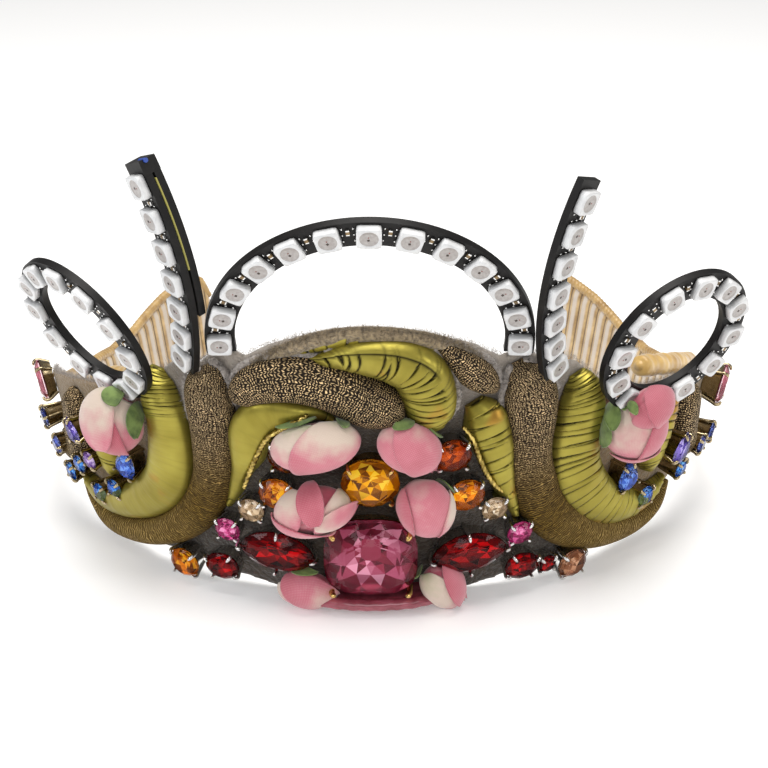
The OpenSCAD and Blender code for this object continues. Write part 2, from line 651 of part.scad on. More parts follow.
module arch_lights() {
    color("whitesmoke")
        arch_frame()
            for (k = [0:arch_modules - 1])
                rotate([0, 0, k * 180 / (arch_modules - 1)])
                    translate([arch_r, 0, 0])
                        light_module();
}

module spike_lights() {
    color("whitesmoke")
        for (s = SPIKES)
            spike_frame(s)
                for (k = [0:spike_modules - 1])
                    rotate([0, 0, k * spike_step])
                        translate([spike_r, 0, 0])
                            light_module();
}

module loop_lights() {
    color("whitesmoke")
        for (s = LOOPS)
            loop_frame(s)
                for (k = [0:loop_modules - 1])
                    rotate([0, 0, s[6] + k * 360 / loop_modules])
                        translate([loop_r, 0, 0])
                            light_module();
}

// Room for the strips, cut out of the padding that is sewn over them
strip_thick = board_t + module_t + 3 * piece_gap;
module loop_room() {
    outer = loop_r + board_w / 2 + 2 * piece_gap;
    inner = loop_r - board_w / 2 - piece_gap;
    for (s = LOOPS)
        loop_frame(s)
            translate([0, 0, -piece_gap])
                difference() {
                    cylinder(r = outer, h = strip_thick);
                    translate([0, 0, -1])
                        cylinder(r = inner, h = strip_thick + 2);
                }
}
module strip_room() {
    wide = board_w + 2 * piece_gap;
    arch_frame()
        translate([0, 0, -piece_gap])
            arc_board(arch_r, -arch_over - 1, 181 + arch_over, wide, strip_thick);
    for (s = SPIKES)
        spike_frame(s)
            translate([0, 0, -piece_gap])
                spike_arc(spike_low - 0.05, spike_top, wide, strip_thick);
    loop_room();
}

// Felt-backed front
module headband() {
    steps = 80;
    color("tan")
        difference() {
            skin([
                for (k = [0:steps])
                    let(
                        p = -front_end + 2 * front_end * k / steps,
                        low = lookup(abs(p), FRONT_LOW) * front_h,
                        top = lookup(abs(p), FRONT_TOP) * front_h
                    )
                        [
                            on_wall(p, low, 0), on_wall(p, top, 0),
                            on_wall(p, top, -felt_wall), on_wall(p, low, -felt_wall)
                        ]
            ]);
            strip_room();
        }
}

// One ribbed satin leg with its bound top edge; side is -1 or 1
module leg(side) {
    first = front_end + piece_gap;
    steps = 2 * round((leg_end - first) / rib_step);
    color("goldenrod")
        skin([
            for (k = [0:steps])
                let(
                    q = first + (leg_end - first) * k / steps,
                    p = side * q,
                    low = lookup(q, LEG_LOW) * front_h,
                    top = lookup(q, LEG_TOP) * front_h - edge_d,
                    inner = -leg_wall - (k % 2) * rib_relief,
                    ring = [
                        on_wall(p, low, 0), on_wall(p, top, 0),
                        on_wall(p, top + edge_d * 0.3, 0.5), on_wall(p, top + edge_d * 0.8, 0.2),
                        on_wall(p, top + edge_d, -leg_wall / 2),
                        on_wall(p, top + edge_d * 0.8, -leg_wall - 0.3),
                        on_wall(p, top + edge_d * 0.3, -leg_wall - 0.6),
                        on_wall(p, top, inner), on_wall(p, low, inner)
                    ]
                )
                    [for (j = [0:len(ring) - 1]) ring[side > 0 ? j : len(ring) - 1 - j]]
        ]);
}
module leg_left() { leg(-1); }
module leg_right() { leg(1); }

// Padding covered in one fabric, with room for the strips and stones that it carries
module padding(rows, steps, gathered = false) {
    angles = [for (r = rows) r[0]];
    difference() {
        pad(rows, steps, gathered);
        strip_room();
        stones_room(min(angles) - 6, max(angles) + 6);
    }
}
// The room of a pad that is sewn over others, with a small gap round it
module sewn_over(rows, steps) {
    pad(rows, steps, false, pad_w + piece_gap, pad_t + 2 * piece_gap, 0);
}
module lame(rows, steps, over = []) {
    color("saddlebrown")
        difference() {
            padding(rows, steps);
            for (other = over)
                sewn_over(other[0], other[1]);
        }
}
module foil(rows, steps) {
    color("olive")
        padding(rows, steps, true);
}

module lame_column_left() { lame(COLUMN_LEFT, 14); }
module lame_column_right() { lame(COLUMN_RIGHT, 15, [[CRESCENT_RIGHT, 14]]); }
module lame_scroll() { lame(SCROLL, 10, [[HORN, 10]]); }
module lame_patch() { lame(PATCH, 5); }
module lame_side_left() { lame(mirrored(SIDE_LAME, left_draw), 10); }
module lame_side_right() { lame(SIDE_LAME, 10); }

module foil_horn() { foil(HORN, 20); }
module foil_leaf_left() { foil(LEAF_LEFT, 14); }
module foil_leaf_right() { foil(LEAF_RIGHT, 14); }
module foil_crescent_left() { foil(CRESCENT_LEFT, 28); }
module foil_crescent_right() { foil(CRESCENT_RIGHT, 28); }
module foil_side_left() { foil(mirrored(SIDE_FOIL, left_draw), 16); }
module foil_side_right() { foil(SIDE_FOIL, 16); }

// The satin rolls lie along the inside of the front's top edge
module satin_roll(rows) {
    color("gold")
        roll(rows, 10, roll_d, -felt_wall - roll_d / 2 - piece_gap, 10);
}
module pink_piping() { color("hotpink") roll(PIPING, 12, piping_d, 0); }
module leaf_trim_left() { color("gold") roll(TRIM_LEFT, 10, trim_d, trim_d / 2 + piece_gap, 6); }
module leaf_trim_right() { color("gold") roll(TRIM_RIGHT, 8, trim_d, trim_d / 2 + piece_gap, 6); }

module settings(metal, tint) {
    color(tint)
        for (s = concat(STONES, SIDE_STONES_LEFT, SIDE_STONES_RIGHT))
            if (s[8] == metal)
                setting(s);
}
module side_stones_left() { color("royalblue") for (s = SIDE_STONES_LEFT) stone(s, 12); }
module side_stones_right() { color("royalblue") for (s = SIDE_STONES_RIGHT) stone(s, 12); }

headband();
leg_left();
leg_right();
lame_column_left();
lame_column_right();
lame_scroll();
lame_patch();
lame_side_left();
lame_side_right();
foil_horn();
foil_leaf_left();
foil_leaf_right();
foil_crescent_left();
foil_crescent_right();
foil_side_left();
foil_side_right();
satin_roll(ROLL_LEFT);  // satin_roll_left
satin_roll(ROLL_RIGHT);  // satin_roll_right
pink_piping();
leaf_trim_left();
leaf_trim_right();
arch_board();
spike_board(SPIKES[0]);  // spike_board_left
spike_board(SPIKES[1]);  // spike_board_right
loop_board(LOOPS[0]);  // loop_board_left
loop_board(LOOPS[1]);  // loop_board_right
arch_lights();
spike_lights();
loop_lights();
settings("gold", "gold");  // settings_gold
settings("silver", "silver");  // settings_silver
settings("copper", "peru");  // settings_copper
side_stones_left();
side_stones_right();
for (name = BUD_NAMES)
    bud(name);
for (s = STONES)
    color("crimson") stone(s);
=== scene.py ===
import math

import bmesh
import bpy
import numpy as np
from mathutils import Matrix, Vector


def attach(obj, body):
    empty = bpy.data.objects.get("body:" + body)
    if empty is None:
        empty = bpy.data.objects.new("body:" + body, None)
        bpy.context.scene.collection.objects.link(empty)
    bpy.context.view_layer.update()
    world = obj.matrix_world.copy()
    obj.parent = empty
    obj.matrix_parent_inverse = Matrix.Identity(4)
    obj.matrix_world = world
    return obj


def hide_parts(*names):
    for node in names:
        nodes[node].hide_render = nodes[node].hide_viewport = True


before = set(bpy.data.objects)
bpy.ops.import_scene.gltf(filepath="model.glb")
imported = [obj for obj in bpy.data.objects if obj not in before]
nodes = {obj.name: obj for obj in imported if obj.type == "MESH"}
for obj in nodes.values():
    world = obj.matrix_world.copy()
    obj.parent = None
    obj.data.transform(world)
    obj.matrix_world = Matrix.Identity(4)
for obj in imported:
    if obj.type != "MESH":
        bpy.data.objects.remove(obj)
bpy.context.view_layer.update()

# Studio
# A pale floor under the diadem, a broad soft light above it and weaker ones to its sides.
# The camera looks down at it by 25 degrees, from a little right of its middle.
camera_place = (0.0029, -0.4276, 0.2197)
camera_pitch = 65
camera_lens = 86.48
floor_grey = 0.9
floor_glow = 0.22
floor_size = 3.0
room_grey = 0.24
light_aim = (0, -0.03, 0.03)
LIGHTS = [
    # name, place, size, power, colour
    ("top_light", (0.0, -0.05, 0.75), 0.55, 6.2, (1.0, 0.98, 0.95)),
    ("left_light", (-0.7, -0.45, 0.45), 0.35, 2.4, (0.95, 0.97, 1.0)),
    ("right_light", (0.75, -0.35, 0.35), 0.3, 1.5, (1.0, 0.97, 0.93)),
    ("front_light", (0.05, -0.9, 0.5), 0.4, 1.6, (1.0, 1.0, 1.0)),
]

bpy.ops.object.camera_add(location=camera_place, rotation=(math.radians(camera_pitch), 0, 0))
camera = bpy.context.object
camera.data.lens = camera_lens
camera.data.clip_start = 0.01
bpy.context.scene.camera = camera
bpy.context.scene.view_settings.view_transform = "Standard"


def finish_of(name, colour, roughness, metallic=0.0, **values):
    """A new material with a Principled shader; values are more of the shader's inputs."""
    material = bpy.data.materials.new(name)
    material.use_nodes = True
    shader = material.node_tree.nodes["Principled BSDF"]
    values.update(Base_Color=(*colour, 1), Roughness=roughness, Metallic=metallic)
    for key, value in values.items():
        shader.inputs[key.replace("_", " ")].default_value = value
    return material, material.node_tree, shader


def added(operator, **values):
    """What an add operator makes, with nothing else selected."""
    bpy.ops.object.select_all(action="DESELECT")
    operator(**values)
    return bpy.context.object


room = bpy.data.worlds.new("room")
bpy.context.scene.world = room
room.use_nodes = True
room.node_tree.nodes["Background"].inputs["Color"].default_value = (room_grey, room_grey, room_grey, 1)

floor = added(bpy.ops.mesh.primitive_plane_add, size=floor_size)
floor.name = "studio_floor"
floor_paint, _, _ = finish_of("floor_paint", (floor_grey,) * 3, 0.9,
                              Emission_Color=(1, 1, 1, 1), Emission_Strength=floor_glow)
floor.data.materials.append(floor_paint)

for light_name, place, size, power, colour in LIGHTS:
    light = added(bpy.ops.object.light_add, type="AREA", location=place)
    light.name = light_name
    light.data.size = size
    light.data.energy = power
    light.data.color = colour
    aim = Vector(light_aim) - Vector(place)
    light.rotation_euler = aim.to_track_quat("-Z", "Y").to_euler()


# Felt front
# The flared wall of taupe wool felt that everything is sewn to. Its body is kept dark as painted shade and
# turns paler towards the cut top edge; its outer face is painted darker still as shade between the stones,
# and is tan where it turns to the sides.
ring_right = 0.078
ring_left = 0.0745
ring_front = 0.07
ring_back = 0.082
flare = 0.18
front_height = 0.07
felt_wall = 0.002
felt_voxel = 0.0008
felt_relief = 0.0003
nap_size = 0.0035
# The body's colours are darker than the felt's own, as painted shade between the pads and stones
felt_light = (0.17, 0.135, 0.10)
felt_dark = (0.05, 0.036, 0.026)
felt_pale_top = (0.48, 0.42, 0.36)
# Painted shade laid over the outer face between the stones
felt_painted_shade = (0.025, 0.018, 0.012)
felt_tan = (0.27, 0.18, 0.085)
painted_shade_depth = 0.65
pale_top_levels = (0.05, 0.068)
pale_top_raggedness = 0.012
tan_from_middle = (0.046, 0.054)
tint_depth = 0.8


def wall_point(angle, height, off=0.0):
    """Points over the flared wall, by degrees from its middle, height and stand-off in metres."""
    turn = np.radians(angle)
    side = np.where(turn < 0, ring_left, ring_right)
    depth = np.where(np.cos(turn) > 0, ring_front, ring_back)
    out = flare * height + off
    return np.stack([(side + out) * np.sin(turn), -(depth + out) * np.cos(turn), height + 0 * out], -1)


def feed(socket, value):
    """Links another socket to an input, or sets the input to a value."""
    if isinstance(value, bpy.types.NodeSocket):
        socket.id_data.links.new(value, socket)
    else:
        socket.default_value = value


def add(tree, kind, **values):
    """Adds a shader node: a capitalised value is one of its inputs, another is a setting."""
    made = tree.nodes.new(kind)
    for key, value in values.items():
        if key[0].isupper():
            feed(made.inputs[key.replace("_", " ")], value)
        else:
            setattr(made, key, value)
    return made


def tree_of(*values):
    """The node tree of the first socket among some values."""
    return next(value.id_data for value in values if isinstance(value, bpy.types.NodeSocket))


def calc(operation, *values):
    """The output of a Math node."""
    made = add(tree_of(*values), "ShaderNodeMath", operation=operation)
    for socket, value in zip(made.inputs, values):
        feed(socket, value)
    return made.outputs[0]


def blend_colours(share, first, second):
    """The output of a Mix node between two colours."""
    made = add(tree_of(share, first, second), "ShaderNodeMix", data_type="RGBA")
    for index, value in ((0, share), (6, first), (7, second)):
        feed(made.inputs[index], (*value, 1) if isinstance(value, tuple) else value)
    return made.outputs[2]


def spread(value, low, high, start=0.0, end=1.0):
    """A value mapped smoothly from low..high to start..end."""
    made = add(value.id_data, "ShaderNodeMapRange", interpolation_type="SMOOTHSTEP", Value=value,
               From_Min=low, From_Max=high, To_Min=start, To_Max=end)
    return made.outputs["Result"]


def new_group(name, inputs, outputs):
    """An empty shader node group with the given sockets, as (name, kind, default)."""
    group = bpy.data.node_groups.new(name, "ShaderNodeTree")
    for socket_name, kind, default in inputs:
        socket = group.interface.new_socket(name=socket_name, in_out="INPUT", socket_type=kind)
        socket.default_value = default
    for socket_name, kind in outputs:
        group.interface.new_socket(name=socket_name, in_out="OUTPUT", socket_type=kind)
    return group, group.nodes.new("NodeGroupInput").outputs, group.nodes.new("NodeGroupOutput").inputs


# A mottle of two colours with a matching height, for felt, petals, satin and plated metal
mottle, given, put = new_group(
    "mottle",
    [("Vector", "NodeSocketVector", (0, 0, 0)), ("Scale", "NodeSocketFloat", 500.0),
     ("Detail", "NodeSocketFloat", 4.0), ("Low", "NodeSocketFloat", 0.35),
     ("High", "NodeSocketFloat", 0.65), ("First", "NodeSocketColor", (0, 0, 0, 1)),
     ("Second", "NodeSocketColor", (1, 1, 1, 1))],
    [("Color", "NodeSocketColor"), ("Height", "NodeSocketFloat")])
grain = add(mottle, "ShaderNodeTexNoise", Vector=given["Vector"], Scale=given["Scale"],
            Detail=given["Detail"], Roughness=0.6)
share = add(mottle, "ShaderNodeMapRange", Value=grain.outputs["Fac"], From_Min=given["Low"],
            From_Max=given["High"])
feed(put["Color"], blend_colours(share.outputs["Result"], given["First"], given["Second"]))
feed(put["Height"], share.outputs["Result"])


def noise(vector, scale, detail):
    """The outputs of a noise texture."""
    return add(vector.id_data, "ShaderNodeTexNoise", Vector=vector, Scale=scale, Detail=detail).outputs


def axes_of(vector):
    """The three parts of a vector."""
    return add(vector.id_data, "ShaderNodeSeparateXYZ", Vector=vector).outputs


def mottled(vector, scale, first, second, low=0.35, high=0.65, detail=4.0):
    """A placed mottle group."""
    made = add(vector.id_data, "ShaderNodeGroup", node_tree=mottle)
    for key, value in (("Vector", vector), ("Scale", scale), ("Detail", detail), ("Low", low),
                       ("High", high), ("First", (*first, 1)), ("Second", (*second, 1))):
        feed(made.inputs[key], value)
    return made.outputs


def emboss(shader, height, depth, strength):
    """Feeds a height in metres times depth to the shader's normal through a Bump node."""
    bump = add(height.id_data, "ShaderNodeBump", Height=height, Distance=depth, Strength=strength)
    feed(shader.inputs["Normal"], bump.outputs["Normal"])


def only(thing):
    """Makes one object the only selected one, and the active one."""
    bpy.ops.object.select_all(action="DESELECT")
    thing.select_set(True)
    bpy.context.view_layer.objects.active = thing


def dressed(piece, material, slot, *replaced, fill=None):
    if material is not None:
        piece.data.materials.clear()
        piece.data.materials.append(material)
    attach(piece, "root")
    if replaced:
        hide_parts(*replaced)


felt, felt_tree, felt_shader = finish_of("felt", felt_light, 0.95, Sheen_Weight=0.35)
felt_place = add(felt_tree, "ShaderNodeTexCoord").outputs
felt_axes = axes_of(felt_place["Object"])
felt_facing = add(felt_tree, "ShaderNodeVectorMath", operation="DOT_PRODUCT")
feed(felt_facing.inputs[0], felt_place["Object"])
feed(felt_facing.inputs[1], felt_place["Normal"])
outer_face = spread(felt_facing.outputs["Value"], 0.0, 0.02)
felt_fleck = mottled(felt_place["Object"], 900.0, felt_dark, felt_light, 0.3, 0.6, 6.0)
# The felt is paler towards its cut top edge; the darker body below it is painted shade
felt_wisp = calc("MULTIPLY", noise(felt_place["Object"], 160.0, 4.0)["Fac"], pale_top_raggedness)
felt_pale = spread(calc("ADD", felt_axes["Z"], felt_wisp), *pale_top_levels, 0.0, tint_depth)
felt_side = spread(calc("ABSOLUTE", felt_axes["X"]), *tan_from_middle, 0.0, tint_depth)
# The outer face is darkened between the stones as painted shade
felt_shaded = blend_colours(calc("MULTIPLY", outer_face, painted_shade_depth), felt_fleck["Color"], felt_painted_shade)
felt_top = blend_colours(felt_pale, felt_shaded, felt_pale_top)
felt_tone = blend_colours(calc("MULTIPLY", outer_face, felt_side), felt_top, felt_tan)
feed(felt_shader.inputs["Base Color"], felt_tone)
emboss(felt_shader, felt_fleck["Height"], 0.0004, 0.8)

felt_body = nodes["headband"].copy()
felt_body.data = nodes["headband"].data.copy()
felt_body.name = "felt_body"
bpy.context.collection.objects.link(felt_body)
only(felt_body)
remade = felt_body.modifiers.new("remade", "REMESH")
remade.mode = "VOXEL"
remade.voxel_size = felt_voxel
bpy.ops.object.modifier_apply(modifier="remade")
nap = bpy.data.textures.new("nap", "CLOUDS")
nap.noise_scale = nap_size
raised = felt_body.modifiers.new("raised", "DISPLACE")
raised.texture = nap
raised.strength = felt_relief
raised.mid_level = 0.5
bpy.ops.object.modifier_apply(modifier="raised")
bpy.ops.object.shade_smooth()
dressed(felt_body, felt, "felt", "headband")


# Knit pads
# Rolls of wadding covered in a dark stretch knit with a pale gold yarn. The stitches open up
# at the thick ends, where the yarn sparkles, and close to fine ribs below.
pad_width = 0.0061
pad_height = 0.005
pad_gap = 0.0002
dome_share = 0.8
dome_power = 0.7
girth_share = 1.4
knit_ground = (0.012, 0.008, 0.005)
knit_yarn = (0.86, 0.62, 0.33)
knit_low_yarn = (0.30, 0.18, 0.022)
knit_low_ground = (0.035, 0.020, 0.004)
knit_end_yarn = (0.48, 0.32, 0.09)
knit_end_ground = (0.09, 0.056, 0.014)
wale_width = 1.1
course_height = 0.5
knit_drift = (1.7, 1.5, 0)
closing_from_to = (0.24, 0.56)
side_draw = 0.95
knit_lumps = 0.00045
COLUMN_LEFT = [
    [-23.8, 0.85, 0.24, 0.2], [-23.4, 0.832, 0.6, 0.7], [-23.6, 0.78, 0.87, 0.95], [-23.8, 0.725, 0.94, 1],
    [-23.9, 0.651, 0.89, 1], [-24.1, 0.578, 0.84, 1], [-24.5, 0.497, 0.82, 0.95], [-25.4, 0.416, 0.8, 0.95],
    [-27.4, 0.332, 0.78, 0.95], [-30.6, 0.249, 0.76, 0.95], [-35.7, 0.171, 0.66, 0.95],
    [-43, 0.11, 0.56, 0.9], [-51, 0.078, 0.5, 0.8], [-58, 0.1, 0.36, 0.65], [-63, 0.14, 0.14, 0.3],
]
COLUMN_RIGHT = [
    [20, 0.875, 0.21, 0.2], [20.5, 0.851, 0.5, 0.7], [21.6, 0.804, 0.86, 0.95], [22.6, 0.737, 1, 1],
    [23.2, 0.656, 0.92, 1], [23.4, 0.581, 0.83, 1], [23.9, 0.502, 0.82, 0.95], [24.9, 0.428, 0.86, 0.95],
    [26.9, 0.334, 0.9, 0.95], [29.3, 0.264, 0.92, 0.95], [32.8, 0.2, 0.88, 0.95], [37.4, 0.145, 0.76, 0.95],
    [43, 0.112, 0.62, 0.9], [49.5, 0.1, 0.5, 0.85], [55.5, 0.12, 0.36, 0.7], [60.5, 0.165, 0.14, 0.3],
]
SCROLL = [
    [-19.6, 0.739, 0.2, 0.4], [-18.6, 0.764, 0.54, 0.8], [-16.4, 0.805, 0.76, 1], [-13.5, 0.832, 0.88, 1],
    [-9.9, 0.842, 0.94, 1], [-6.4, 0.828, 0.95, 1.05], [-3.1, 0.803, 0.98, 1.15], [-0.4, 0.775, 1, 1.3],
    [1.9, 0.751, 0.85, 1.35], [3.4, 0.728, 0.53, 1.2], [4.1, 0.714, 0.17, 0.7],
]
PATCH = [
    [8.3, 0.968, 0.14, 0.2], [10.1, 0.943, 0.3, 0.55], [12.3, 0.897, 0.5, 0.75], [14.2, 0.852, 0.6, 0.85],
    [16, 0.815, 0.46, 0.8], [17.3, 0.79, 0.18, 0.4],
]
SIDE_KNIT = [
    [59.4, 0.565, 0.2, 0.3], [59.2, 0.525, 0.62, 0.75], [59.4, 0.44, 0.78, 0.9], [61.2, 0.35, 0.74, 0.9],
    [65, 0.285, 0.62, 0.8], [70.6, 0.255, 0.46, 0.65], [76.5, 0.26, 0.15, 0.3],
]


def smooth_rows(rows, place):
    """The rows of a table as a smooth curve, at places from 0 to 1."""
    rows = np.array(rows, float)
    last = len(rows) - 1
    at = np.clip(place, 0, 1) * last
    i = np.minimum(at.astype(int), last - 1)
    t = (at - i)[:, None]
    a, b, c, d = rows[np.maximum(i - 1, 0)], rows[i], rows[i + 1], rows[np.minimum(i + 2, last)]
    return 0.5 * (2 * b + (c - a) * t + (2 * a - 5 * b + 4 * c - d) * t**2 + (3 * b - a - 3 * c + d) * t**3)


def mirrored(rows, draw):
    """A table given for the right, drawn in and turned to the left."""
    return [[-row[0] * draw, *row[1:]] for row in rows]


def course_of(rows, place):
    """Centre angle, height, half width, thickness and the direction across, along a course."""
    here = smooth_rows(rows, place)
    step = 0.004
    ahead = smooth_rows(rows, place + step)
    behind = smooth_rows(rows, place - step)
    per_degree = (ring_right + flare * front_height * here[:, 1]) * math.pi / 180
    run = (ahead[:, 0] - behind[:, 0]) * per_degree
    rise = (ahead[:, 1] - behind[:, 1]) * front_height
    size = np.maximum(np.hypot(run, rise), 1e-9)
    return here, -rise / size / per_degree, run / size


def move_points(thing, points):
    """Puts a mesh's points at new places."""
    thing.data.vertices.foreach_set("co", np.ascontiguousarray(points, np.float32).ravel())
    thing.data.update()


def points_of(thing):
    """A mesh's points as an array."""
    points = np.zeros(len(thing.data.vertices) * 3, np.float32)
    thing.data.vertices.foreach_get("co", points)
    return points.reshape(-1, 3).astype(float)


def face_outwards(thing, close=False):
    """Turns a mesh's faces outwards; closing merges its seam and fills its ends first."""
    only(thing)
    bpy.ops.object.mode_set(mode="EDIT")
    bpy.ops.mesh.select_all(action="SELECT")
    if close:
        bpy.ops.mesh.remove_doubles(threshold=1e-6)
        bpy.ops.mesh.select_all(action="SELECT")
        bpy.ops.mesh.fill_holes(sides=0)
        bpy.ops.mesh.select_all(action="SELECT")
    bpy.ops.mesh.normals_make_consistent(inside=False)
    bpy.ops.object.mode_set(mode="OBJECT")
    if close:
        bpy.ops.object.shade_smooth()


def grid_sheet(name, across, along):
    """A grid of the given number of faces, with each point's shares across and along it."""
    sheet = added(bpy.ops.mesh.primitive_grid_add, x_subdivisions=across, y_subdivisions=along, size=2)
    sheet.name = name
    flat = points_of(sheet)
    return sheet, (flat[:, 0] + 1) / 2, (flat[:, 1] + 1) / 2


def write_map(thing, name, across, along):
    """Writes a UV map from a value pair for each point."""
    corners = np.zeros(len(thing.data.loops), np.int32)
    thing.data.loops.foreach_get("vertex_index", corners)
    if name not in thing.data.uv_layers:
        thing.data.uv_layers.new(name=name)
    layer = thing.data.uv_layers[name]
    layer.data.foreach_set("uv", np.stack([across, along], -1)[corners].astype(np.float32).ravel())


def write_values(thing, name, values, domain="POINT"):
    """Writes a value for each point or face, as an attribute for the material."""
    layer = thing.data.attributes.new(name, "FLOAT", domain)
    layer.data.foreach_set("value", np.broadcast_to(values, len(layer.data)).astype(np.float32))


def len_of(rows):
    """Length of a course along the wall, in metres."""
    steps = smooth_rows(rows, np.linspace(0, 1, 60))
    track = wall_point(steps[:, 0], steps[:, 1] * front_height)
    return float(np.linalg.norm(np.diff(track, axis=0), axis=1).sum())


def padded_roll(name, rows, across, along, relief, closing=1.0):
    """A domed pad on the wall with a relief; closing is how far its knit closes along it."""
    pad, u, v = grid_sheet(name, across, along)
    here, side_angle, side_height = course_of(rows, v)
    # The grid goes round the dome first and then back under it
    around = np.clip(u / dome_share, 0, 1)
    bow = np.pi * (1 - around)
    back = np.clip((u - dome_share) / (1 - dome_share), 0, 1)
    half = here[:, 2] * pad_width
    thick = here[:, 3] * pad_height
    length = len_of(rows)
    rise, fold = relief(around, v, length)
    # The fold mask goes into the foil's colour as painted shade in the folds
    if fold is not None:
        write_values(pad, "fold", fold)
    rise = rise * np.where(back > 0, 0, np.sin(bow) ** 0.5)
    reach = np.where(back > 0, half * (1 - 2 * back), half * np.cos(bow))
    off = pad_gap + np.where(back > 0, 0, thick * np.sin(bow) ** dome_power)
    move_points(pad, wall_point(here[:, 0] + reach * side_angle, here[:, 1] * front_height
                                + reach * side_height, off + rise))
    girth = (half + thick) * girth_share
    write_map(pad, "cloth", (around - 0.5) * girth * 1000, v * length * 1000)
    write_map(pad, "place", around, v * closing)
    face_outwards(pad, close=True)
    return pad


def soft_lumps(seed, amount):
    """A relief of soft uneven stuffing."""
    draw = np.random.default_rng(seed)
    waves = draw.uniform(0.6, 1.4, (7, 3))
    turns = draw.uniform(0, 2 * np.pi, (7, 2))

    def relief(u, v, length):
        """The rise of each point, without folds."""
        total = 0 * u
        for (a, b, c), (d, e) in zip(waves, turns):
            total = total + c * np.sin(a * 9 * u + d) * np.sin(b * v * length * 420 + e)
        return amount * total / 7, None
    return relief


knit, knit_tree, knit_shader = finish_of("knit", knit_ground, 0.6, Specular_IOR_Level=0.15)
cloth = add(knit_tree, "ShaderNodeUVMap", uv_map="cloth").outputs["UV"]
place = add(knit_tree, "ShaderNodeUVMap", uv_map="place").outputs["UV"]
along_pad = axes_of(place)["Y"]
lower = spread(along_pad, *closing_from_to)
# The cloth is pulled about a little before its stitches are laid out
pulled = add(knit_tree, "ShaderNodeVectorMath", operation="MULTIPLY_ADD")
for socket, value in zip(pulled.inputs, (noise(cloth, 0.6, 2.0)["Color"], knit_drift, cloth)):
    feed(socket, value)
split = axes_of(pulled.outputs[0])
# Each wale has two legs, whose strands lean away from its middle
wale = calc("DIVIDE", split["X"], wale_width)
leg_of_v = calc("ABSOLUTE", calc("SUBTRACT", calc("FRACT", wale), 0.5))
lean = calc("MULTIPLY", leg_of_v, spread(lower, 0.0, 1.0, 1.3, 0.25))
row = calc("ADD", calc("DIVIDE", split["Y"], course_height), lean)
strand = spread(calc("COSINE", calc("MULTIPLY", row, 2 * math.pi)), -0.15, 0.75)
from_leg = calc("ABSOLUTE", calc("SUBTRACT", leg_of_v, 0.25))
gutter = calc("MAXIMUM", spread(from_leg, 0.08, 0.2, 1.0, 0.0), calc("MULTIPLY", lower, 0.8))
# Every stitch's yarn is made brighter or dimmer at random by its own lot, partly a painted sparkle in its
# colour and partly in its metal and gloss, and the yarn is worn in patches
stitch = add(knit_tree, "ShaderNodeCombineXYZ", X=calc("FLOOR", calc("MULTIPLY", wale, 2.0)),
             Y=calc("FLOOR", row))
lot = add(knit_tree, "ShaderNodeTexWhiteNoise", noise_dimensions="2D", Vector=stitch.outputs[0])
sparkle = spread(lot.outputs["Value"], 0.1, 0.9, 0.4, 1.2)
patchy = noise(cloth, 0.16, 1.0)["Fac"]
worn = spread(calc("ADD", along_pad, patchy), 0.55, 1.15, 1.0, 0.72)
yarn = calc("MULTIPLY", calc("MULTIPLY", strand, gutter), calc("MULTIPLY", sparkle, worn))
bottom = spread(calc("ADD", along_pad, calc("MULTIPLY", patchy, 0.2)), 0.64, 0.9)
thread = blend_colours(bottom, blend_colours(lower, knit_yarn, knit_low_yarn), knit_end_yarn)
ground = blend_colours(bottom, blend_colours(lower, knit_ground, knit_low_ground), knit_end_ground)
feed(knit_shader.inputs["Base Color"], blend_colours(yarn, ground, thread))
feed(knit_shader.inputs["Metallic"], calc("MULTIPLY", yarn, 0.5))
feed(knit_shader.inputs["Roughness"], spread(yarn, 0.0, 1.0, 0.85, 0.35))
emboss(knit_shader, strand, 0.00012, 0.7)

KNIT_PADS = [
    # node, rows, points along, fill, how far the knit closes
    ("lame_column_left", COLUMN_LEFT, 190, 0.9, 1.0), ("lame_column_right", COLUMN_RIGHT, 190, 0.9, 1.0),
    ("lame_scroll", SCROLL, 120, 0.95, 0.25), ("lame_patch", PATCH, 80, 0.8, 0.25),
    ("lame_side_left", mirrored(SIDE_KNIT, side_draw), 90, 0.8, 0.6),
    ("lame_side_right", SIDE_KNIT, 90, 0.8, 0.6),
]
for seed, (node_name, rows, along, fill, closing) in enumerate(KNIT_PADS):
    pad = padded_roll(node_name + "_cover", rows, 50, along, soft_lumps(seed, knit_lumps), closing)
    dressed(pad, knit, "lame", node_name, fill=fill)


# Gathered foil
# Wadding wound in a thin olive gold foil cloth. Each turn laps over the one before it, which leaves fine
# grooves across the roll, painted dark as shade and close together at the tips, and orange reflections are
# painted on in patches.
foil_deep = (0.26, 0.215, 0.034)
foil_light = (0.39, 0.335, 0.062)
foil_orange_glint = (0.42, 0.17, 0.03)
foil_fold_shade = (0.012, 0.010, 0.003)
turn_lengths = (0.45, 1.6)
turn_slant = 0.45
fold_half = 0.00017
fold_depth = 1.2
fold_shade_strength = 2.2
seam_half = 0.022
flat_rise = 0.0003
seam_sink = 0.0004
turn_rows = 0.00018
leaf_spread = 1.15
CRESCENT_LEFT = [
    [-32.4, 0.803, 0.25, 0.3], [-32.6, 0.766, 0.6, 0.85], [-32.2, 0.716, 0.74, 1.05],
    [-31.9, 0.667, 0.84, 1.1], [-31.6, 0.609, 0.88, 1.1], [-31.8, 0.538, 0.94, 1.1],
    [-32.5, 0.459, 0.98, 1.1], [-33.9, 0.386, 0.97, 1.1], [-36.9, 0.315, 0.92, 1.05],
    [-41.5, 0.25, 0.82, 1], [-47.3, 0.2, 0.7, 0.95], [-54, 0.17, 0.52, 0.8], [-59, 0.18, 0.3, 0.55],
    [-62, 0.2, 0.12, 0.3],
]
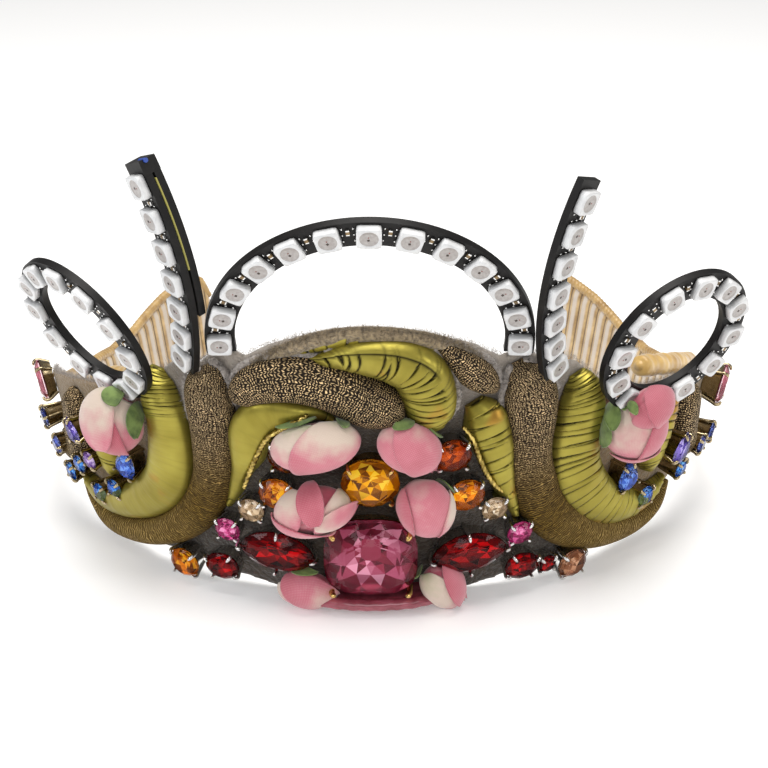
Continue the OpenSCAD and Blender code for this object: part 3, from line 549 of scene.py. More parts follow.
CRESCENT_RIGHT = [
    [29.8, 0.794, 0.28, 0.3], [30.4, 0.766, 0.56, 0.85], [31.1, 0.706, 0.84, 1.05], [31.2, 0.628, 0.95, 1.1],
    [31.2, 0.553, 0.97, 1.1], [31.6, 0.47, 1, 1.1], [33.2, 0.385, 1.03, 1.1], [36, 0.31, 1, 1.05],
    [39.6, 0.25, 0.92, 1], [44, 0.21, 0.78, 0.95], [49, 0.19, 0.6, 0.8], [54, 0.2, 0.35, 0.6],
    [57, 0.22, 0.12, 0.3],
]
HORN = [
    [-8.4, 0.908, 0.14, 0.25], [-5.7, 0.919, 0.33, 0.6], [-3, 0.932, 0.53, 0.95], [0.4, 0.931, 0.74, 1.1],
    [3.2, 0.919, 0.87, 1.2], [5.4, 0.895, 0.93, 1.25], [6.8, 0.858, 0.97, 1.25], [7.6, 0.812, 0.96, 1.25],
    [8, 0.762, 0.92, 1.2], [8.4, 0.709, 0.74, 1.05], [9, 0.672, 0.36, 0.6],
]
LEAF_LEFT = [
    [-5.3, 0.695, 0.11, 0.2], [-7.3, 0.722, 0.23, 0.5], [-9.5, 0.726, 0.33, 0.7], [-12.1, 0.715, 0.54, 0.8],
    [-15.2, 0.69, 0.74, 0.85], [-17.6, 0.628, 0.77, 0.9], [-18.7, 0.547, 0.58, 0.85],
    [-19.9, 0.48, 0.34, 0.75], [-21.4, 0.404, 0.25, 0.55], [-23.2, 0.33, 0.1, 0.3],
]
LEAF_RIGHT = [
    [14.3, 0.75, 0.3, 0.4], [15.7, 0.702, 0.64, 0.85], [16.8, 0.635, 0.68, 0.9], [17.9, 0.566, 0.6, 0.9],
    [18.9, 0.493, 0.48, 0.8], [20.2, 0.419, 0.34, 0.7], [21.7, 0.35, 0.21, 0.5], [22.9, 0.292, 0.12, 0.3],
]
SIDE_FOIL = [
    [50.6, 0.615, 0.15, 0.3], [50.4, 0.58, 0.5, 0.75], [50.2, 0.5, 0.64, 0.9],
    [49.6, 0.41, 0.62, 0.9], [50, 0.34, 0.46, 0.75], [51.6, 0.285, 0.12, 0.3],
]


def lapped_turns(seed, spacing, lap, bow, smooth=(2.0, 2.0), seam=None, tight=1.0):
    """A relief of overlapping turns and a mask of painted shade in its folds, plain over the smooth stretch;
    tight is the spacing at the far end as a share of that at the start."""
    draw = np.random.default_rng(seed)

    def relief(u, v, length):
        """The rise of each point and the painted shade of the fold it lies in."""
        places = [0.0]
        while places[-1] < 1.1:
            near = 1 - (1 - tight) * min(places[-1], 1)
            places.append(places[-1] + draw.uniform(*turn_lengths) * spacing * near / length)
        places = np.array(places)
        slant = draw.uniform(-turn_slant, turn_slant, len(places)) * spacing / length
        depth = draw.uniform(0.5, 1.0, len(places))
        fade = draw.uniform(-0.7, 0.7, len(places))
        arch = v + bow * 4 * (u - 0.5) ** 2 / length
        index = np.clip(np.searchsorted(places, arch) - 1, 0, len(places) - 2)
        moved = arch + slant[index] * (u - 0.5) * 2
        index = np.clip(np.searchsorted(places, moved) - 1, 0, len(places) - 2)
        part = (moved - places[index]) / (places[index + 1] - places[index])
        strength = depth[index] * np.clip(1 + fade[index] * (u - 0.5) * 4, 0, 1.3)
        calm = np.clip((np.abs(v - sum(smooth) / 2) - (smooth[1] - smooth[0]) / 2) * 14 + 1, 0.04, 1)
        span = (places[index + 1] - places[index]) * length
        groove = np.exp(-((np.minimum(part, 1 - part) * span / fold_half) ** 2))
        shade = np.clip(strength * calm * groove * fold_shade_strength * (1 + max(0, 1 - tight) * v), 0, 1)
        rise = lap * strength * calm * (part - fold_depth * groove)
        if seam is not None:
            # A flat strip is sewn along one edge, over part of the length, and its seam line is painted dark
            # as shade
            line = np.exp(-((u - seam[0]) / seam_half) ** 2) * np.clip((seam[1] - v) * 20, 0, 1)
            shade = np.where(u > seam[0], shade * 0.35, shade)
            shade = np.maximum(shade, line)
            rise = np.where(u > seam[0], rise * 0.3 + flat_rise, rise) - seam_sink * line
        return rise, shade
    return relief


foil, foil_tree, foil_shader = finish_of("foil", foil_light, 0.36, 0.68, Specular_IOR_Level=0.2)
foil_map = add(foil_tree, "ShaderNodeUVMap", uv_map="cloth").outputs["UV"]
foil_place = add(foil_tree, "ShaderNodeTexCoord").outputs["Object"]
foil_tone = mottled(foil_place, 90.0, foil_deep, foil_light, 0.3, 0.7, 2.0)
# Patches of painted orange reflection are mixed into the foil's colour
orange_glint_share = spread(noise(foil_place, 110.0, 2.0)["Fac"], 0.6, 0.74, 0.0, 0.6)
fold_shade_mask = add(foil_tree, "ShaderNodeAttribute", attribute_name="fold").outputs["Fac"]
foil_glinted = blend_colours(orange_glint_share, foil_tone["Color"], foil_orange_glint)
feed(foil_shader.inputs["Base Color"], blend_colours(fold_shade_mask, foil_glinted, foil_fold_shade))
crinkle = add(foil_tree, "ShaderNodeMapping", Vector=foil_map, Scale=(0.2, 0.9, 1)).outputs[0]
crease = noise(crinkle, 1.0, 3.0)["Fac"]
emboss(foil_shader, crease, 0.0002, 0.4)
feed(foil_shader.inputs["Roughness"], spread(crease, 0.3, 0.7, 0.32, 0.5))

FOIL_PADS = [
    # node, rows, seed, mean distance of the turns, lap, bow, plain stretch, seam, far spacing
    ("foil_horn", HORN, 11, 0.0027, 0.0007, 0.003, (2, 2), (0.68, 0.62), 0.4),
    ("foil_leaf_left", LEAF_LEFT, 12, 0.0036, 0.00035, -0.001, (0.04, 0.97), None, 1.0),
    ("foil_leaf_right", LEAF_RIGHT, 13, 0.0022, 0.0007, -0.001, (2, 2), None, 1.0),
    ("foil_crescent_left", CRESCENT_LEFT, 14, 0.0012, 0.0005, -0.0022, (0.2, 0.92), None, 1.6),
    ("foil_crescent_right", CRESCENT_RIGHT, 15, 0.0012, 0.00055, -0.0022, (2, 2), None, 1.9),
    ("foil_side_left", mirrored(SIDE_FOIL, side_draw), 16, 0.002, 0.0004, -0.001, (2, 2), None, 1.0),
    ("foil_side_right", SIDE_FOIL, 17, 0.002, 0.0004, -0.001, (2, 2), None, 1.0),
]
for node_name, rows, seed, spacing, lap, bow, plain, seam, tight in FOIL_PADS:
    along = int(len_of(rows) / turn_rows)
    relief = lapped_turns(seed, spacing, lap, bow, plain, seam, tight)
    if "leaf" in node_name:
        rows = [[row[0], row[1], row[2] * leaf_spread, row[3]] for row in rows]
    pad = padded_roll(node_name + "_cover", rows, 44, along, relief)
    dressed(pad, foil, "foil", node_name, fill=0.95)


# Felt edges
# Each motif is cut from its own piece of felt, whose soft grey edge stands out round it like a
# cord. Loose fibres are teased out of these edges and of the top edge of the whole front.
felt_cord = 0.00075
fibre_length = 0.0013
fibre_thick = 0.000034
fibre_corners = (0, 2.0944, 4.1888)
fibre_scatter = 0.00035
fibre_lean = 0.75
fibre_curl = 0.6
cord_lumpiness = 0.12
edge_reach = 1.08
edge_off = 0.0009
edge_jitter = 0.0001
edge_steps = 220
edge_fibres = 1080
rim_steps = 1600
rim_fibres = 5200
rim_fibre_length = 0.0015
grey_felt_light = (0.50, 0.45, 0.41)
grey_felt_dark = (0.20, 0.165, 0.14)
FELT_EDGES = [
    # name, rows, side of the course, first and last share along it
    ("scroll_edge", SCROLL, 1, 0.04, 0.6), ("horn_edge", HORN, 1, 0.1, 0.97),
    ("patch_edge", PATCH, 1, 0.05, 0.92), ("column_outer_edge_right", COLUMN_RIGHT, 1, 0.02, 0.2),
    ("column_inner_edge_right", COLUMN_RIGHT, -1, 0.02, 0.3),
    ("column_outer_edge_left", COLUMN_LEFT, 1, 0.02, 0.2),
    ("column_inner_edge_left", COLUMN_LEFT, -1, 0.02, 0.3),
]
FRONT_TOP = [
    [0, 1.012], [8, 0.99], [14, 0.945], [18, 0.89], [21, 0.92], [24, 0.87], [26.5, 0.82], [29, 0.85],
    [32, 0.79], [37, 0.71], [44, 0.655], [52, 0.62], [60, 0.575], [68, 0.52], [75, 0.47], [80, 0.44],
]


def tube(name, path, radii, sides, wave=None):
    """A closed round tube on a path; wave gives its radius factor from turn and length."""
    path = np.asarray(path, float)
    tube_mesh, u, v = grid_sheet(name, sides, len(path) - 1)
    ring = np.rint(v * (len(path) - 1)).astype(int)
    run = np.gradient(path, axis=0)
    run /= np.linalg.norm(run, axis=1, keepdims=True)
    side = np.zeros_like(path)
    side[0] = np.cross(run[0], (0.3, 0.2, 0.93))
    side[0] /= np.linalg.norm(side[0])
    for k in range(1, len(path)):
        side[k] = side[k - 1] - run[k] * (side[k - 1] @ run[k])
        side[k] /= np.linalg.norm(side[k])
    up = np.cross(side, run)
    length = np.concatenate([[0], np.cumsum(np.linalg.norm(np.diff(path, axis=0), axis=1))])
    turn = 2 * np.pi * u
    radius = np.broadcast_to(radii, len(path))[ring]
    if wave is not None:
        radius = radius * wave(turn, length[ring])
    out = np.cos(turn)[:, None] * side[ring] + np.sin(turn)[:, None] * up[ring]
    move_points(tube_mesh, path[ring] + radius[:, None] * out)
    write_map(tube_mesh, "cloth", u * 2 * np.pi * radius.mean() * 1000, length[ring] * 1000)
    write_map(tube_mesh, "place", u, v)
    face_outwards(tube_mesh, close=True)
    return tube_mesh


def shells(name, solids, smooth=True):
    """One mesh of closed skins, each given as rings of points shaped (rings, sides, 3)."""
    points = []
    faces = []
    first = 0
    for solid in solids:
        rings, sides, _ = solid.shape
        points.append(solid.reshape(-1, 3))
        for i in range(rings - 1):
            for j in range(sides):
                a = first + i * sides + j
                b = first + i * sides + (j + 1) % sides
                faces.append((a, b, b + sides, a + sides))
        faces.append(tuple(first + j for j in range(sides - 1, -1, -1)))
        faces.append(tuple(first + (rings - 1) * sides + j for j in range(sides)))
        first += rings * sides
    mesh = bpy.data.meshes.new(name)
    mesh.from_pydata(np.concatenate(points).tolist(), [], faces)
    made = bpy.data.objects.new(name, mesh)
    bpy.context.collection.objects.link(made)
    face_outwards(made)
    if smooth:
        bpy.ops.object.shade_smooth_by_angle(angle=math.radians(40))
    return made


def fibres(roots, outward, count, seed, length=fibre_length):
    """Thin curled three-sided fibres that stand out of a line of roots."""
    draw = np.random.default_rng(seed)
    at = draw.integers(0, len(roots), count)
    start = roots[at] + draw.normal(0, fibre_scatter, (count, 3))
    lean = outward[at] + draw.normal(0, fibre_lean, (count, 3))
    lean /= np.linalg.norm(lean, axis=1, keepdims=True)
    curl = draw.normal(0, fibre_curl, (count, 3))
    size = length * draw.uniform(0.3, 1.0, count)[:, None]
    middle = start + lean * size * 0.55
    end = middle + (lean + curl) * size * 0.45
    across = np.cross(lean, draw.normal(0, 1, (count, 3)))
    across /= np.linalg.norm(across, axis=1, keepdims=True)
    other = np.cross(lean, across)
    rings = []
    for centre, thick in ((start, 1.0), (middle, 0.8), (end, 0.25)):
        ring = [centre + fibre_thick * thick * (math.cos(t) * across + math.sin(t) * other)
                for t in fibre_corners]
        rings.append(np.stack(ring, 1))
    return np.stack(rings, 1)


def edge_line(rows, side, first, last, count, reach, off):
    """Points along one edge of a pad, and the directions out of it."""
    place = np.linspace(first, last, count)
    here, side_angle, side_height = course_of(rows, place)
    half = here[:, 2] * pad_width * reach * side
    edge = wall_point(here[:, 0] + half * side_angle, here[:, 1] * front_height + half * side_height, off)
    inside = wall_point(here[:, 0], here[:, 1] * front_height, off - felt_wall)
    out = edge - inside
    return edge, out / np.linalg.norm(out, axis=1, keepdims=True)


def two_toned(name, scale, tones, roughness, metallic=0.0, levels=(0.35, 0.65), detail=4.0,
              relief=None, gloss=None, **values):
    """A material in two mottled tones; relief is the depth and strength of a bump from the
    mottle, and gloss its roughness from dark to light."""
    material, tree, shader = finish_of(name, tones[1], roughness, metallic, **values)
    place = add(tree, "ShaderNodeTexCoord").outputs["Object"]
    tone = mottled(place, scale, *tones, *levels, detail)
    feed(shader.inputs["Base Color"], tone["Color"])
    if relief is not None:
        emboss(shader, tone["Height"], *relief)
    if gloss is not None:
        feed(shader.inputs["Roughness"], spread(tone["Height"], 0, 1, *gloss))
    return material


grey_felt = two_toned("grey_felt", 1500.0, (grey_felt_dark, grey_felt_light), 0.95, levels=(0.3, 0.62),
                      detail=6.0, relief=(0.0003, 0.8), Sheen_Weight=0.4)
lump_draw = np.random.default_rng(5)
fibre_rings = []
for seed, (edge_name, rows, side, first, last) in enumerate(FELT_EDGES):
    edge, out = edge_line(rows, side, first, last, edge_steps, edge_reach, edge_off)
    edge = edge + edge_jitter * lump_draw.normal(0, 1, edge.shape)
    waves = np.sin(np.linspace(0, 60, edge_steps)) * np.sin(np.linspace(1, 37, edge_steps))
    lumps = 1 + cord_lumpiness * waves
    dressed(tube(edge_name, edge, felt_cord * lumps, 10), grey_felt, "felt")
    fibre_rings.extend(fibres(edge, out + (0, -0.5, 0.2), edge_fibres, 40 + seed))
top_angles, top_levels = np.array(FRONT_TOP).T
top_angles = np.concatenate([-top_angles[:0:-1], top_angles])
top_levels = np.concatenate([top_levels[:0:-1], top_levels])
rim_angles = np.linspace(-80, 80, rim_steps)
rim_levels = np.interp(rim_angles, top_angles, top_levels) * front_height
rim = wall_point(rim_angles, rim_levels, -felt_wall / 2)
fibre_rings.extend(fibres(rim, np.tile((0.0, -0.2, 1.0), (rim_steps, 1)), rim_fibres, 60,
                          rim_fibre_length))
dressed(shells("felt_fibres", fibre_rings, False), grey_felt, "felt")


# Foil strip
# A narrow strip of the foil shows over the horn, sewn under a band of brown lame whose cut
# edge frays along the top of the front.
band_light = (0.38, 0.29, 0.17)
band_dark = (0.12, 0.085, 0.045)
band_lumps = 0.0011
band_fibres = 4200
band_fibre_length = 0.0012
STRIP = [
    [-13, 0.9, 0.12, 0.15], [-9, 0.955, 0.3, 0.3], [-3, 0.99, 0.36, 0.4], [3, 0.99, 0.36, 0.4],
    [7.5, 0.965, 0.3, 0.3], [10.5, 0.93, 0.1, 0.15],
]
TOP_BAND = [
    [-16.5, 0.87, 0.1, 0.2], [-12.5, 0.925, 0.26, 0.35], [-6.5, 0.985, 0.3, 0.45], [0, 1.005, 0.3, 0.5],
    [6.5, 0.985, 0.3, 0.45], [11.5, 0.945, 0.24, 0.35], [14.5, 0.9, 0.1, 0.2],
]
band_cloth = two_toned("band_cloth", 1300.0, (band_dark, band_light), 0.7, 0.2, levels=(0.35, 0.6),
                       detail=5.0, relief=(0.0004, 0.8), Sheen_Weight=0.3)
strip = padded_roll("foil_strip", STRIP, 20, 260, lapped_turns(21, 0.0022, 0.0003, 0))
dressed(strip, foil, "foil", fill=0.8)
band = padded_roll("top_band", TOP_BAND, 24, 260, soft_lumps(22, band_lumps))
dressed(band, band_cloth, "lame", fill=0.8)
band_edge, band_out = edge_line(TOP_BAND, 1, 0.03, 0.97, 900, 0.8, 0.0014)
band_rings = fibres(band_edge, band_out + (0, -0.4, 0.5), band_fibres, 71, band_fibre_length)
dressed(shells("band_fibres", band_rings, False), band_cloth, "lame")


# Satin legs
# Two flexible legs of tan satin, quilted into upright ribs on both faces, run back from the
# front; each rib carries a painted sheen highlight and each groove painted shade. A bumpy bound edge of
# orange gold satin goes along their tops.
leg_wall = 0.0016
rib_step = 2.5
rib_relief = 0.0006
rib_fullness = 0.6
outer_share = 0.3
leg_sink = 0.0001
edge_width = 0.0026
leg_start = 80.15
leg_end = 142
degree_mm = 1.4
bound_from_to = (80.4, 141.4)
bound_steps = 420
satin_dark = (0.30, 0.17, 0.055)
satin_light = (0.70, 0.50, 0.25)
satin_rib_highlight = (0.62, 0.57, 0.52)
satin_groove_shade = (0.10, 0.06, 0.025)
binding_dark = (0.26, 0.14, 0.04)
binding_light = (0.56, 0.37, 0.14)
LEG_TOP = [
    [80, 0.435], [90, 0.34], [100, 0.28], [112, 0.245], [120, 0.26], [130, 0.33], [137, 0.365],
    [140, 0.34], [142, 0.24],
]
LEG_LOW = [
    [80, 0.17], [88, 0.15], [98, 0.08], [108, 0.03], [118, 0], [136, 0], [140, 0.02], [142, 0.08],
]
satin, satin_tree, satin_shader = finish_of("satin", satin_light, 0.38, Sheen_Weight=0.3)
satin_place = add(satin_tree, "ShaderNodeTexCoord").outputs["Object"]
satin_tone = mottled(satin_place, 260.0, satin_dark, satin_light, 0.25, 0.75, 3.0)
satin_map = add(satin_tree, "ShaderNodeUVMap", uv_map="cloth").outputs["UV"]
rib = calc("FRACT", calc("DIVIDE", axes_of(satin_map)["X"], degree_mm * rib_step))
rib_middle = calc("ABSOLUTE", calc("SUBTRACT", rib, 0.5))
# Each rib's middle is painted pale as a sheen highlight, and its groove dark as painted shade
rib_highlighted = blend_colours(spread(rib_middle, 0.12, 0.3, 0.75, 0.0), satin_tone["Color"], satin_rib_highlight)
groove_shaded = blend_colours(spread(rib_middle, 0.38, 0.5, 0.0, 0.85), rib_highlighted, satin_groove_shade)
feed(satin_shader.inputs["Base Color"], groove_shaded)
threads = add(satin_tree, "ShaderNodeTexWave", Vector=satin_map, Scale=1.6, Distortion=0.6)
emboss(satin_shader, threads.outputs["Fac"], 0.00006, 0.6)

binding_satin = two_toned("binding_satin", 300.0, (binding_dark, binding_light), 0.35,
                          levels=(0.25, 0.7), detail=3.0, Sheen_Weight=0.3)
leg_low, leg_top = (np.array(rows).T for rows in (LEG_LOW, LEG_TOP))
for side_name, side in (("left", -1), ("right", 1)):
    leg, u, v = grid_sheet("leg_" + side_name + "_quilt", 56, 330)
    angle = leg_start + (leg_end - leg_start) * v
    low = np.interp(angle, *leg_low) * front_height
    top = np.interp(angle, *leg_top) * front_height - edge_width / 2
    up = np.clip(np.where(u < 0.5, u * 2, 2 - u * 2), 0, 1)
    puff = np.abs(np.sin(np.pi * (angle - leg_start) / rib_step)) ** rib_fullness
    round_off = np.clip(np.minimum(up, 1 - up) * 9, 0, 1) ** 0.5
    face = np.where(u < 0.5, -leg_sink, -leg_wall)
    grown = np.where(u < 0.5, outer_share, -1.0) * rib_relief * puff
    middle = -leg_wall / 2
    off = middle + (face + grown - middle) * round_off
    move_points(leg, wall_point(side * angle, low + (top - low) * up, off))
    write_map(leg, "cloth", (angle - leg_start) * degree_mm, up * (top - low) * 1000)
    face_outwards(leg, close=True)
    dressed(leg, satin, "ribbed_satin", "leg_" + side_name, fill=0.7)
    edge_angles = np.linspace(*bound_from_to, bound_steps)
    edge_top = np.interp(edge_angles, *leg_top) * front_height - edge_width / 2
    path = wall_point(side * edge_angles, edge_top, -leg_wall / 2)
    bound = tube("leg_" + side_name + "_binding", path, edge_width / 2, 14,
                 lambda turn, run: 0.84 + 0.16 * np.abs(np.cos(turn + run * 2400)) ** 0.7)
    dressed(bound, binding_satin, "gold_satin", fill=0.9)


# Satin rolls
# Rolls of orange gold satin stuffed with cord, sewn along the inside of the front.
gold_satin_dark = (0.34, 0.17, 0.035)
gold_satin_light = (0.72, 0.48, 0.16)
roll_width = 0.005
roll_steps = 160
ROLL_RIGHT = [[47, 0.69], [53, 0.655], [60, 0.61], [68, 0.55], [76, 0.49]]
ROLL_LEFT = [[-39.5, 0.705], [-44, 0.672], [-49, 0.635], [-54, 0.6]]
gold_satin = two_toned("gold_satin", 180.0, (gold_satin_dark, gold_satin_light), 0.3, levels=(0.2, 0.7),
                       detail=3.0, relief=(0.0002, 0.5), Sheen_Weight=0.3)
for roll_name, rows in (("satin_roll_right", ROLL_RIGHT), ("satin_roll_left", ROLL_LEFT)):
    here = smooth_rows(rows, np.linspace(0, 1, roll_steps))
    path = wall_point(here[:, 0], here[:, 1] * front_height, -felt_wall - roll_width / 2 - pad_gap)
    ends = np.clip(np.sin(np.linspace(0, np.pi, roll_steps)) * 9, 0.2, 1) ** 0.5
    roll = tube(roll_name + "_cover", path, roll_width / 2 * ends, 24,
                lambda turn, run: 1 + 0.05 * np.sin(turn * 2 + run * 900) - 0.02 * np.sin(run * 2600))
    dressed(roll, gold_satin, "gold_satin", roll_name, fill=0.95)


# Pink piping
# A pink satin piping curves under the big stone and ends in two dark red knobs.
piping_width = 0.0026
knob_width = 0.0031
web_half = 0.0004
web_root = 0.0001
pink_satin = (0.34, 0.07, 0.10)
pink_satin_dark = (0.16, 0.02, 0.03)
knob_reds = ((0.07, 0.003, 0.006), (0.3, 0.02, 0.035))
PIPING = [
    [-9, 0.055, 0.8, 1.5], [-6, 0.048, 1, 1.6], [0, 0.044, 1, 1.65], [6, 0.048, 1, 1.6],
    [9.5, 0.055, 0.8, 1.5],
]
piping_cloth = two_toned("piping_cloth", 300.0, (pink_satin_dark, pink_satin), 0.25, levels=(0.2, 0.6),
                         detail=2.0, relief=(0.0001, 0.4), Coat_Weight=0.4)
here = smooth_rows(PIPING, np.linspace(0, 1, 140))
path = wall_point(here[:, 0], here[:, 1] * front_height, here[:, 3] * pad_height)
piping = tube("piping_cover", path, piping_width / 2 * here[:, 2], 20,
              lambda turn, run: 1 + 0.05 * np.sin(run * 1900) * np.sin(turn))
dressed(piping, piping_cloth, "pink_piping", "pink_piping", fill=1.0)
# Its satin runs back under the stone and is sewn to the felt
web_rings = []
for angle, level, _, off in here[8:-8:4]:
    corners = ((-web_half, web_root), (web_half, web_root), (web_half, off * pad_height),
               (-web_half, off * pad_height))
    web_rings.append([wall_point(angle, level * front_height + rise, out) for rise, out in corners])
dressed(shells("piping_web", [np.array(web_rings)]), piping_cloth, "pink_piping", fill=1.0)
knob_cloth = two_toned("knob_cloth", 500.0, knob_reds, 0.3)
for knob_name, end in (("left", path[0]), ("right", path[-1])):
    knob = added(bpy.ops.mesh.primitive_uv_sphere_add, segments=24, ring_count=14,
                 radius=knob_width / 2, location=end)
    knob.name = "piping_knob_" + knob_name
    knob.scale = (1.15, 0.95, 0.85)
    bpy.ops.object.transform_apply(location=True, rotation=True, scale=True)
    bpy.ops.object.shade_smooth()
    dressed(knob, knob_cloth, "pink_piping", fill=1.0)


# Twisted wire
# Two strands of gilt wire are twisted and couched along the inner edges of the two leaves.
wire_width = 0.0013
wire_twist = 2200
gilt = (0.62, 0.47, 0.14)
gilt_dark = (0.14, 0.095, 0.02)
TRIM_LEFT = [
    [-8.4, 0.735, 0.7, 0.6], [-10, 0.715, 1, 0.8], [-12.3, 0.68, 1, 0.8], [-14.5, 0.64, 1, 0.75],
    [-16.3, 0.57, 1, 0.7], [-17.9, 0.495, 1, 0.65], [-19.1, 0.435, 0.7, 0.6],
]
TRIM_RIGHT = [
    [12.3, 0.69, 0.7, 0.75], [13.8, 0.64, 0.8, 0.72], [15, 0.566, 1, 0.72], [16.4, 0.498, 1, 0.65],
    [18, 0.445, 1, 0.55], [19.3, 0.415, 0.7, 0.5],
]
gilt_wire = two_toned("gilt_wire", 550.0, (gilt_dark, gilt), 0.28, 1.0, levels=(0.35, 0.62))
for wire_name, rows in (("leaf_trim_left", TRIM_LEFT), ("leaf_trim_right", TRIM_RIGHT)):
    here = smooth_rows(rows, np.linspace(0, 1, 420))
    path = wall_point(here[:, 0], here[:, 1] * front_height,
                      here[:, 3] * pad_height + wire_width / 2 + pad_gap)
    wire = tube(wire_name + "_twist", path, wire_width / 2 * here[:, 2], 12,
                lambda turn, run: 0.6 + 0.4 * np.abs(np.cos(turn + run * wire_twist + np.sin(run * 900))))
    dressed(wire, gilt_wire, "gold_wire", wire_name)


# Light modules
# Square white modules with a round, slightly sunk lens over a dark chip. They stand in rows
# on black boards, the arch and the loops on round ones and the spikes on slightly curved ones.
module_width = 0.005
module_thick = 0.0016
lens_radius = 0.00188
lens_sunk = 0.00012
board_thick = 0.0016
lens_edge = 0.00185
square_from = 0.0023
edge_from = 0.00245
module_lift = 0.0001
chip_lift = 0.00002
chip_thick = 0.00008
chip_turn = 0.35
squareness = 9
edge_drop = 0.00012
arch_radius = 0.031
arch_lean = 24
arch_up = 0.943
arch_out = 0.65
arch_modules = 13
loop_radius = 0.0155
loop_modules = 12
spike_radius = 0.058
spike_pitch = 0.0072
spike_modules = 7
SPIKES = [["left", -25.9, 0.89, 1.1, -50, 14.5, 27], ["right", 24.8, 0.861, 1.1, 46, 14.5, 30]]
LOOPS = [["left", -41.2, 0.901, 1.68, -45, 24, -4.5], ["right", 40.6, 0.879, 2.35, 32.5, 19, 25]]
plastic_light = (0.70, 0.705, 0.71)
plastic_dark = (0.56, 0.565, 0.575)
lens_grey = (0.33, 0.30, 0.285)
lens_pale = (0.42, 0.395, 0.38)
CHIPS = [
    # place to the side, width, number of the material
    (-0.00025, 0.0005, 2), (0.00045, 0.00026, 3),
]
MODULE_RINGS = [
    # radius and how far it is sunk, from the flat face's edge to its middle
    (0.00242, 0), (0.00198, 0), (lens_radius, lens_sunk), (0.0009, 0.8 * lens_sunk),
]


def turned(degrees, axis):
    """A turn about an axis."""
    return Matrix.Rotation(math.radians(degrees), 4, axis)


def shifted_by(x, y=0, z=0):
    """A move."""
    return Matrix.Translation((x, y, z))


def in_plane(place, turn, lean):
    """The frame of a strip: x and y in its face, z out of it, from the back of its board."""
    return (Matrix.Translation(place) @ turned(turn, "Z") @ turned(lean, "X") @ turned(90, "X")
            @ shifted_by(0, 0, -board_thick - module_thick))


def on_wall(angle, height, off):
    """A place on the wall, with the height as a share of the front's and off of a pad's."""
    return Vector(wall_point(np.array(float(angle)), np.array(height * front_height),
                             off * pad_height))


def joined(things):
    """Joins things into the first of them."""
    bpy.ops.object.select_all(action="DESELECT")
    for thing in things:
        thing.select_set(True)
    bpy.context.view_layer.objects.active = things[0]
    bpy.ops.object.join()
    return things[0]


def joined_copies(name, model, places):
    """One mesh of a copy of the model at each place."""
    mesh = model.data
    points = points_of(model)
    flat = np.column_stack([points, np.ones(len(points))])
    corners = [tuple(face.vertices) for face in mesh.polygons]
    materials = np.array([face.material_index for face in mesh.polygons])
    smooth = np.array([face.use_smooth for face in mesh.polygons])
    moved = np.concatenate([(flat @ np.array(place).T)[:, :3] for place in places])
    faces = [tuple(i + k * len(points) for i in face) for k in range(len(places)) for face in corners]
    joined = bpy.data.meshes.new(name)
    joined.from_pydata(moved.tolist(), [], faces)
    for material in mesh.materials:
        joined.materials.append(material)
    joined.polygons.foreach_set("material_index", np.tile(materials, len(places)))
    joined.polygons.foreach_set("use_smooth", np.tile(smooth, len(places)))
    made = bpy.data.objects.new(name, joined)
    bpy.context.collection.objects.link(made)
    return made


plastic = two_toned("module_plastic", 400.0, (plastic_dark, plastic_light), 0.35, levels=(0.2, 0.55),
                    detail=3.0)
lens = two_toned("module_lens", 1600.0, (lens_grey, lens_pale), 0.3, detail=2.0, Coat_Weight=0.15)
chip, _, _ = finish_of("module_chip", (0.035, 0.018, 0.012), 0.3)
chip_red, _, _ = finish_of("module_chip_red", (0.20, 0.05, 0.035), 0.4)
solder, _, _ = finish_of("solder", (0.75, 0.75, 0.74), 0.18, 1.0)

module = added(bpy.ops.mesh.primitive_cylinder_add, vertices=32, radius=module_width / 2,
               depth=module_thick, location=(0, 0, module_thick / 2))
bpy.ops.object.transform_apply(location=True)
bpy.ops.object.mode_set(mode="EDIT")
bpy.ops.mesh.select_mode(type="FACE")
bpy.ops.mesh.select_all(action="DESELECT")
shape = bmesh.from_edit_mesh(module.data)
for face in shape.faces:
    face.select = face.normal.z > 0.9
bmesh.update_edit_mesh(module.data)
for ring_radius, sink in MODULE_RINGS:
    bpy.ops.mesh.extrude_region_move()
    shape = bmesh.from_edit_mesh(module.data)
    for point in [point for point in shape.verts if point.select]:
        factor = ring_radius / math.hypot(point.co.x, point.co.y)
        point.co = (point.co.x * factor, point.co.y * factor, module_thick - sink)
    bmesh.update_edit_mesh(module.data)
bpy.ops.object.mode_set(mode="OBJECT")
# The outer rings are pushed out to a rounded square, and its edge drops a little
corners = points_of(module)
flat_size = np.hypot(corners[:, 0], corners[:, 1])
turn = np.arctan2(corners[:, 1], corners[:, 0])
squared = (np.abs(np.cos(turn)) ** squareness + np.abs(np.sin(turn)) ** squareness) ** (-1 / squareness)
corners[:, :2] *= np.where(flat_size > square_from, squared, 1.0)[:, None]
corners[:, 2] -= np.where((flat_size > edge_from) & (corners[:, 2] > module_thick / 2), edge_drop, 0)
move_points(module, corners)
for material in (plastic, lens, chip, chip_red):
    module.data.materials.append(material)
for face in module.data.polygons:
    reach = math.hypot(face.center.x, face.center.y)
    face.material_index = 1 if reach < lens_edge and face.center.z > module_thick / 2 else 0
only(module)
bpy.ops.object.shade_smooth_by_angle(angle=math.radians(35))
for x, width, number in CHIPS:
    bit = added(bpy.ops.mesh.primitive_cube_add, size=1, rotation=(0, 0, chip_turn),
                scale=(width, width, chip_thick), location=(x, 0.0001, module_thick - lens_sunk + chip_lift))
    bpy.ops.object.transform_apply(location=True, rotation=True, scale=True)
    for material in module.data.materials:
        bit.data.materials.append(material)
    for face in bit.data.polygons:
        face.material_index = number
    joined([module, bit])

